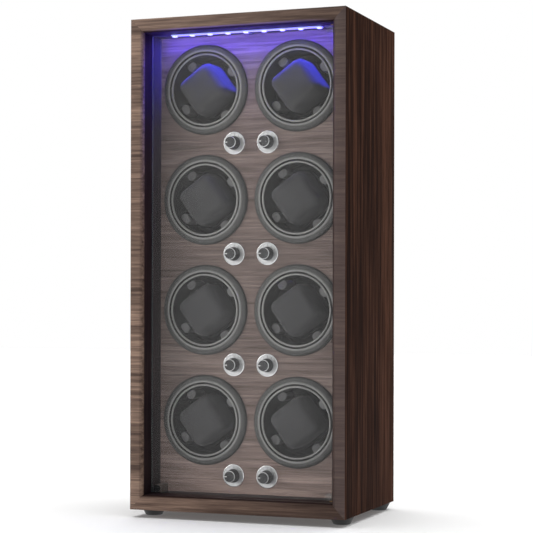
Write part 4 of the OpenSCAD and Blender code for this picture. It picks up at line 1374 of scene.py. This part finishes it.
@dataclass
class Cushions:
    """The velvet cushions, puffed out by their filling."""

    cell: float = 3.0
    pressure: float = 4.0
    frames: int = 20
    cap: float = 1.5
    shrink: float = 0.975
    hold: float = 24.7
    flank: float = 20.0
    gap: float = 3.05
    seam: float = 68.0
    seam_in: float = 0.9
    seam_width: float = 1.3
    spacing: float = 2.7

    def shell(self) -> bpy.types.Object:
        """Makes the slightly smaller shape that the filling starts from, about the origin."""
        mesh = frame["nodes"]["pillow_1"].data.copy()
        centre = middle("pillow_1") * MM
        mesh.transform(Matrix.Scale(self.shrink, 4) @ Matrix.Translation(-centre))
        mesh.materials.clear()
        made = new_object("cushion_shell", mesh)
        remesh = made.modifiers.new("cells", "REMESH")
        remesh.mode = "VOXEL"
        remesh.voxel_size = self.cell * MM
        smooth = made.modifiers.new("soften", "SMOOTH")
        smooth.factor = 0.5
        smooth.iterations = 3
        return flatten(made)

    def puff(self, made: bpy.types.Object) -> None:
        """Fills the shell and lets its cloth settle."""
        scene = bpy.context.scene
        scene.frame_start, scene.frame_end = 1, self.frames
        cloth = made.modifiers.new("filling", "CLOTH")
        settings = cloth.settings
        settings.quality = 6
        settings.mass = 0.25
        settings.tension_stiffness = settings.compression_stiffness = 12.0
        settings.bending_stiffness = 0.4
        settings.use_pressure = True
        settings.uniform_pressure_force = self.pressure
        settings.effector_weights.gravity = 0.0
        cloth.point_cache.frame_start, cloth.point_cache.frame_end = 1, self.frames
        for frame_number in range(1, self.frames + 1):
            scene.frame_set(frame_number)
        graph = bpy.context.evaluated_depsgraph_get()
        settled = [v.co.copy() for v in made.evaluated_get(graph).data.vertices]
        made.modifiers.remove(cloth)
        scene.frame_set(1)
        limit = self.cap * MM
        for vertex, where in zip(made.data.vertices, settled):
            move = where - vertex.co
            if move.length > 1e-9:
                vertex.co += move.normalized() * limit * math.tanh(move.length / limit)

    def seat(self, made: bpy.types.Object, depth_of: Callable[[float], float]) -> None:
        """Holds the cushion inside its cradle and draws in its seam."""
        turn = Matrix.Rotation(math.radians(PLACES.turn), 3, "Y")
        hold, flank, back = self.hold * MM, self.flank * MM, PLACES.floor - self.gap
        for vertex in made.data.vertices:
            flat = turn @ vertex.co
            depth = depth_of(vertex.co.y)
            pull = self.seam_in * math.exp(-(((depth - self.seam) / self.seam_width) ** 2)) * MM
            for axis in (0, 2):
                flat[axis] = max(-hold, min(hold, flat[axis]))
                if abs(flat[axis]) > flank:
                    flat[axis] -= math.copysign(pull, flat[axis])
            if depth > back:
                flat.y -= (depth - back) * MM
            vertex.co = turn.inverted() @ flat

    def stitches(self, made: bpy.types.Object, level: float) -> bpy.types.Object:
        """Lays stitches round the cushion along its seam.

        Args:
            made: the cushion about the origin.
            level: the seam's place along Y, in metres.

        Returns:
            The stitches, about the origin.
        """
        cut = bmesh.new()
        cut.from_mesh(made.data)
        geometry = [*cut.verts, *cut.edges, *cut.faces]
        sliced = bmesh.ops.bisect_plane(cut, geom=geometry, plane_co=(0, level, 0), plane_no=(0, 1, 0))
        edges = [e for e in sliced["geom_cut"] if isinstance(e, bmesh.types.BMEdge)]
        numbers = {v: n for n, v in enumerate({v: None for e in edges for v in e.verts})}
        points = [v.co * (1 + 0.25 * MM / v.co.length) / MM for v in numbers]
        path = [[numbers[v] for v in e.verts] for e in edges]
        cut.free()
        draft = Draft()
        profile = ((-0.85, 0.08), (-0.6, 0.25), (0.0, 0.3), (0.6, 0.25), (0.85, 0.08))
        draft.loft([[(x, r * math.cos(FULL_TURN * k / 6), r * math.sin(FULL_TURN * k / 6))
                     for k in range(6)] for x, r in profile])
        stitch = draft.made("stitch", (THREAD,), 60.0)
        return repeated("cushion_stitches", stitches_on_path(), stitch, THREAD, points, path,
                        Spacing=self.spacing * MM)

    def build(self) -> None:
        """Builds one cushion and its stitches and copies them into the cups."""
        centre = middle("pillow_1")

        def depth_of(y: float) -> float:
            """Gives the depth of a place along Y about the cushion's middle."""
            return y / MM + centre.y - FRONT_Y

        made = self.shell()
        self.puff(made)
        finer = made.modifiers.new("finer", "SUBSURF")
        finer.levels = finer.render_levels = 2
        flatten(made)
        self.seat(made, depth_of)
        made.data.materials.append(VELVET.material())
        made.data.shade_smooth()
        level = (FRONT_Y + self.seam - centre.y) * MM
        thread = self.stitches(made, level)
        for number in CUPS:
            shift = middle(f"pillow_{number}")
            cushion = moved_copy(made.data, f"cushion_{number}", shift)
            seam = moved_copy(thread.data, f"cushion_seam_{number}", shift)
            rides(cushion, f"rotor_{number}", "cushion", f"pillow_{number}")
            rides(seam, f"rotor_{number}", "cushion")
        remove(made)
        remove(thread)


# ---------------------------------------------------------------- the dials


@dataclass
class DialPlates:
    """The silvered discs behind the knobs, with their marks."""

    face: float = 48.0
    back: float = 49.0
    first: float = 150.0
    last: float = 30.0
    ticks: int = 13
    numerals: int = 5
    numeral_h: float = 2.0
    numeral_r: float = 9.75

    def centres(self) -> list[Vector]:
        """Gives the middles of the eight discs."""
        return [middle(f"knob_{number}") for number in CUPS]

    def discs(self) -> None:
        """Makes the discs, each with a raised rim."""
        outline = ((3.5, self.back), (3.5, self.face), (11.7, self.face), (11.95, self.face - 0.1),
                   (12.1, self.face - 0.9), (12.35, self.face - 1.2), (12.75, self.face - 1.2),
                   (13.0, self.face - 0.95), (13.0, self.back))
        bands = {k: 1 for k in range(3, 8)}
        draft = Draft()
        for centre in self.centres():
            draft.turned(outline, facing(centre.x, centre.z), ring=True, bands=bands, count=72)
        made = draft.made("dial_discs", (DIAL_SILVER, DIAL_RIM), 50.0)
        map_round(made, self.centres())
        rides(made, "cabinet", "dial_silver", "dial_plates")

    def marks(self) -> None:
        """Makes the printed scale: fine ticks and the numerals from nought."""
        step = math.radians((self.last - self.first) / (self.ticks - 1))
        whole = Draft()
        for centre in self.centres():
            part = Draft()
            part.block((10.75, -0.06, -0.14), (11.55, 0.0, 0.14))
            tick = part.made("tick", (MARK_INK,))
            middle_of = Vector((centre.x, FRONT_Y + self.face, centre.z)) * MM
            ring = repeated("dial_ticks", ring_of_parts(), tick, MARK_INK, Count=self.ticks,
                            Middle=middle_of, Start=math.radians(self.first), Step=step)
            whole.copy_of(ring.data, finish=0)
            remove(ring)
        for value in range(self.numerals):
            mesh = self.numeral(str(value))
            angle = math.radians(self.first + (self.last - self.first) * value / (self.numerals - 1))
            for centre in self.centres():
                on_disc = facing(centre.x, centre.z)
                spot = on_disc(self.numeral_r * math.cos(angle), self.numeral_r * math.sin(angle), self.face)
                whole.copy_of(mesh, spot, 0)
        rides(whole.made("dial_scale", (MARK_INK,)), "cabinet", "dial_silver")

    def numeral(self, body: str) -> bpy.types.Mesh:
        """Makes a numeral's mesh, upright and facing the door, about its own middle."""
        curve = bpy.data.curves.new("numeral", "FONT")
        curve.body = body
        curve.size = self.numeral_h * 1.4 * MM
        curve.align_x, curve.align_y = "CENTER", "CENTER"
        curve.extrude = 0.03 * MM
        curve.resolution_u = 2
        curve.materials.append(MARK_INK.material())
        shown = new_object("numeral", curve)
        bpy.context.view_layer.update()
        graph = bpy.context.evaluated_depsgraph_get()
        mesh = bpy.data.meshes.new_from_object(shown.evaluated_get(graph))
        mesh.transform(Matrix.Rotation(math.pi / 2, 4, "X"))
        merged = bmesh.new()
        merged.from_mesh(mesh)
        bmesh.ops.remove_doubles(merged, verts=merged.verts, dist=1e-7)
        merged.to_mesh(mesh)
        merged.free()
        remove(shown)
        return mesh

    def build(self) -> None:
        """Builds the discs and their marks."""
        self.discs()
        self.marks()


@dataclass
class Knobs:
    """The ribbed timer knobs, each with a bright ring round its cap and a pointer."""

    front: float = 34.0
    ribs: int = 30
    rib_rise: float = 0.22

    @property
    def finishes(self) -> tuple[Finish, ...]:
        """Gives a knob's finishes, in the order of their numbers."""
        return (KNOB_BLACK, KNOB_RING, STEEL, POINTER_WHITE)

    def body(self, place: Placing) -> bpy.types.Object:
        """Makes a knob's cap, its ring, its skirt and its shaft."""
        f = self.front
        draft = Draft()
        cap = [(1.0, f + 0.35), (5.2, f + 0.35), (5.45, f + 0.05), (5.7, f)]
        ring = [(6.1, f), (6.45, f + 0.25), (6.6, f + 0.7), (6.6, f + 1.25), (6.5, f + 1.35)]
        skirt = [(6.62, f + 1.6), (7.75, f + 12.1), (7.7, f + 12.5), (6.27, f + 12.5), (6.27, f + 9.4)]
        shaft = [(3.0, f + 9.4), (3.0, f + 23.8), (2.8, f + 24.0), (1.0, f + 24.0)]
        bands = {k: 1 for k in range(4, 8)}
        bands.update({k: 2 for k in range(14, 18)})
        draft.turned(cap + ring + skirt + shaft, place, bands=bands, count=60)
        return draft.made("knob_body", self.finishes, 34.0)

    def rib(self) -> bpy.types.Object:
        """Makes one rib, standing out from the skirt along +X, with its depth along Y."""
        draft = Draft()
        draft.loft([[(radius - 0.25, depth, -0.28), (radius + self.rib_rise, depth, -0.14),
                     (radius + self.rib_rise, depth, 0.14), (radius - 0.25, depth, 0.28)]
                    for radius, depth in ((6.64, 1.9), (7.72, 12.0))])
        return draft.made("rib", (KNOB_BLACK,))

    def build(self) -> None:
        """Builds the first knob with its ribs and copies it to the other places."""
        first = middle("knob_1")
        body = self.body(facing(first.x, first.z))
        f = FRONT_Y + self.front
        ring = repeated("knob_ribs", ring_of_parts(), self.rib(), KNOB_BLACK, Count=self.ribs,
                        Middle=Vector((first.x, f, first.z)) * MM, Start=0.0, Step=FULL_TURN / self.ribs)
        whole = Draft()
        whole.copy_of(body.data)
        whole.copy_of(ring.data, finish=0)
        whole.block((first.x - 6.35, f, first.z - 0.4), (first.x - 3.3, f + 0.6, first.z + 0.4), 3)
        remove(body)
        remove(ring)
        made = whole.made("knob_piece_1", self.finishes, 34.0)
        for number in CUPS:
            knob = made if number == 1 else moved_copy(
                made.data, f"knob_piece_{number}", middle(f"knob_{number}") - first)
            rides(knob, f"timer_knob_{number}", "knob_black", f"knob_{number}")


# ---------------------------------------------------------------- the studio


@dataclass(frozen=True)
class Wash:
    """A soft lamp that lights one piece only, with its places in millimetres."""

    name: str
    lit: str
    place: Point
    aim: Point
    size: tuple[float, float]
    power: float
    colour: Colour


@dataclass
class Studio:
    """A white floor and background, soft light and the camera."""

    eye: Point = (0.6842, -1.7949, 0.2435)
    look: Point = (-0.3554, 0.9347, 0.0)
    roll: float = 0.134
    lens: float = 110.94
    shift: float = 0.0715
    key_power: float = 34.0
    wash_power: float = 0.055
    wash_lamps: int = 9
    wash_colour: Colour = (0.07, 0.025, 1.0)
    deep_blue: Colour = (0.03, 0.035, 1.0)
    overhead_power: float = 1.4
    ambient: float = 0.4

    def camera(self) -> None:
        """Sets the camera level, with its picture shifted onto the cabinet."""
        data = bpy.data.cameras.new("camera")
        data.lens = self.lens
        data.sensor_width = 36.0
        data.shift_y = self.shift
        data.clip_start = 0.01
        camera = new_object("camera", data)
        level = Euler((0, 0, math.radians(self.roll))).to_quaternion()
        turn = Vector(self.look).to_track_quat("-Z", "Y") @ level
        camera.matrix_world = Matrix.Translation(self.eye) @ turn.to_matrix().to_4x4()
        bpy.context.scene.camera = camera

    def area(
        self, name: str, place: Point, aim: Point, size: tuple[float, float], power: float, colour: Colour
    ) -> bpy.types.Object:
        """Adds a rectangular lamp aimed at a point, and gives it."""
        data = bpy.data.lights.new(name, "AREA")
        data.shape = "RECTANGLE"
        data.size, data.size_y = size
        data.energy = power
        data.color = colour
        light = new_object(name, data)
        turn = (Vector(aim) - Vector(place)).to_track_quat("-Z", "Y")
        light.matrix_world = Matrix.Translation(place) @ turn.to_matrix().to_4x4()
        return light

    def linked(self, light: bpy.types.Object, names: tuple[str, ...], lit: bool) -> bpy.types.Collection:
        """Lights only the objects whose names start so, or all but them, and gives their group."""
        group = bpy.data.collections.new(f"{light.name} group")
        for obj in bpy.context.scene.objects:
            if obj.type == "MESH" and obj.name.startswith(names):
                group.objects.link(obj)
        for entry in group.collection_objects:
            entry.light_linking.link_state = "INCLUDE" if lit else "EXCLUDE"
        light.light_linking.receiver_collection = group
        return group

    def overhead(self, name: str, lean: float) -> None:
        """Adds a broad light from above that lays a soft shadow round the cabinet's foot."""
        data = bpy.data.lights.new(name, "SUN")
        data.energy = self.overhead_power
        data.angle = math.radians(50)
        light = new_object(name, data)
        light.rotation_euler = Vector((lean, -0.1, -1.0)).to_track_quat("-Z", "Y").to_euler()

    def wash(self) -> None:
        """Adds the blue light that the strip throws on the wood and the upper cushions."""
        low, high = corners("light_strip")
        y = (low.y + high.y) / 2
        for k in range(self.wash_lamps):
            share = k / (self.wash_lamps - 1)
            data = bpy.data.lights.new("strip wash", "POINT")
            data.energy = self.wash_power
            data.color = self.wash_colour
            data.shadow_soft_size = 0.003
            lamp = new_object(f"strip_wash_{k + 1}", data)
            lamp.location = Vector(((low.x - 6) * (1 - share) + (high.x + 6) * share, y + 3, low.z - 9)) * MM
            lamp.visible_glossy = False
            group = self.linked(lamp, ("bezel", "cup_piece", "knob", "dial"), lit=False)
            lamp.light_linking.blocker_collection = group
        for wash in self.washes(y, low.z):
            place, aim = Vector(wash.place) * MM, Vector(wash.aim) * MM
            lamp = self.area(wash.name, place, aim, wash.size, wash.power, wash.colour)
            lamp.visible_camera = lamp.visible_glossy = False
            lamp.light_linking.blocker_collection = self.linked(lamp, (wash.lit,), lit=True)

    def washes(self, y: float, z: float) -> tuple[Wash, ...]:
        """Gives the lamps that each light one piece, about the strip's middle and underside."""
        plate, _ = corners("faceplate")
        over = z + 90
        return (
            Wash("reveal wash", "left_board", (-92, y + 22, z - 34), (-113, y + 16, z - 44),
                 (0.02, 0.07), 0.3, self.deep_blue),
            Wash("ceiling wash", "lid_board", (0, y - 13, z - 22), (0, y - 13, z),
                 (0.2, 0.02), 0.5, self.deep_blue),
            Wash("left cushion wash", "cushion_1", (-58, y + 13, over), (-56, y + 13, 500),
                 (0.06, 0.008), 3.5, self.deep_blue),
            Wash("right cushion wash", "cushion_2", (54, y + 13, over), (56, y + 13, 500),
                 (0.06, 0.008), 3.5, self.deep_blue),
            Wash("plate fill", "faceplate", (0, plate.y - 40, plate.z), (0, plate.y, plate.z + 14),
                 (0.22, 0.012), 0.065, (1.0, 0.95, 0.93)),
        )

    def world(self) -> None:
        """Makes a world that is white to look at and gives a softer light."""
        world = bpy.data.worlds.new("studio")
        world.use_nodes = True
        bpy.context.scene.world = world
        w = Wiring(world.node_tree)
        shader = world.node_tree.nodes["Background"]
        path = w.node("ShaderNodeLightPath").outputs
        thrown = w.math("MAXIMUM", path["Is Glossy Ray"], path["Is Transmission Ray"])
        direct = w.math("MAXIMUM", path["Is Camera Ray"], thrown)
        w.feed(shader.inputs["Strength"], w.span(direct, 0.0, 1.0, self.ambient, 1.0))
        shader.inputs["Color"].default_value = (1.0, 1.0, 1.0, 1.0)

    def floor(self) -> None:
        """Lays a pale floor whose shadows stay in view."""
        mesh = bpy.data.meshes.new("floor")
        mesh.from_pydata([(-6, -6, 0), (6, -6, 0), (6, 6, 0), (-6, 6, 0)], [], [(0, 1, 2, 3)])
        material = bpy.data.materials.new("studio floor")
        material.use_nodes = True
        shader = material.node_tree.nodes["Principled BSDF"]
        w = Wiring(material.node_tree)
        w.feed(shader.inputs["Base Color"], (0.85, 0.85, 0.85))
        shader.inputs["Roughness"].default_value = 0.9
        shader.inputs["Specular IOR Level"].default_value = 0.1
        path = w.node("ShaderNodeLightPath").outputs
        w.feed(shader.inputs["Emission Strength"], w.span(path["Is Camera Ray"], 0.0, 1.0, 0.75, 0.1))
        shader.inputs["Emission Color"].default_value = (1.0, 1.0, 1.0, 1.0)
        mesh.materials.append(material)
        new_object("floor", mesh)

    def build(self) -> None:
        """Builds the studio."""
        scene = bpy.context.scene
        scene.view_settings.view_transform = "Standard"
        self.world()
        self.floor()
        self.camera()
        key = self.area("key light", (-1.6, -1.35, 1.1), (0.0, 0.0, 0.3), (1.4, 1.8), self.key_power,
                        (1.0, 0.99, 0.97))
        self.linked(key, ("floor",), lit=False)
        self.overhead("overhead left", -0.22)
        self.overhead("overhead right", 0.22)
        self.wash()
        log.info("studio ready")


def main() -> None:
    """Builds the pieces in order, then the studio."""
    logging.basicConfig(level=logging.INFO, format="%(message)s")
    for assembly in (Box(), Fasteners(), Door(), PowerInlet(), LightStrip(), Bezels(), Cups(),
                     Cushions(), DialPlates(), Knobs(), Studio()):
        log.info("building %s", type(assembly).__name__)
        assembly.build()


if __name__ == "__main__":
    main()
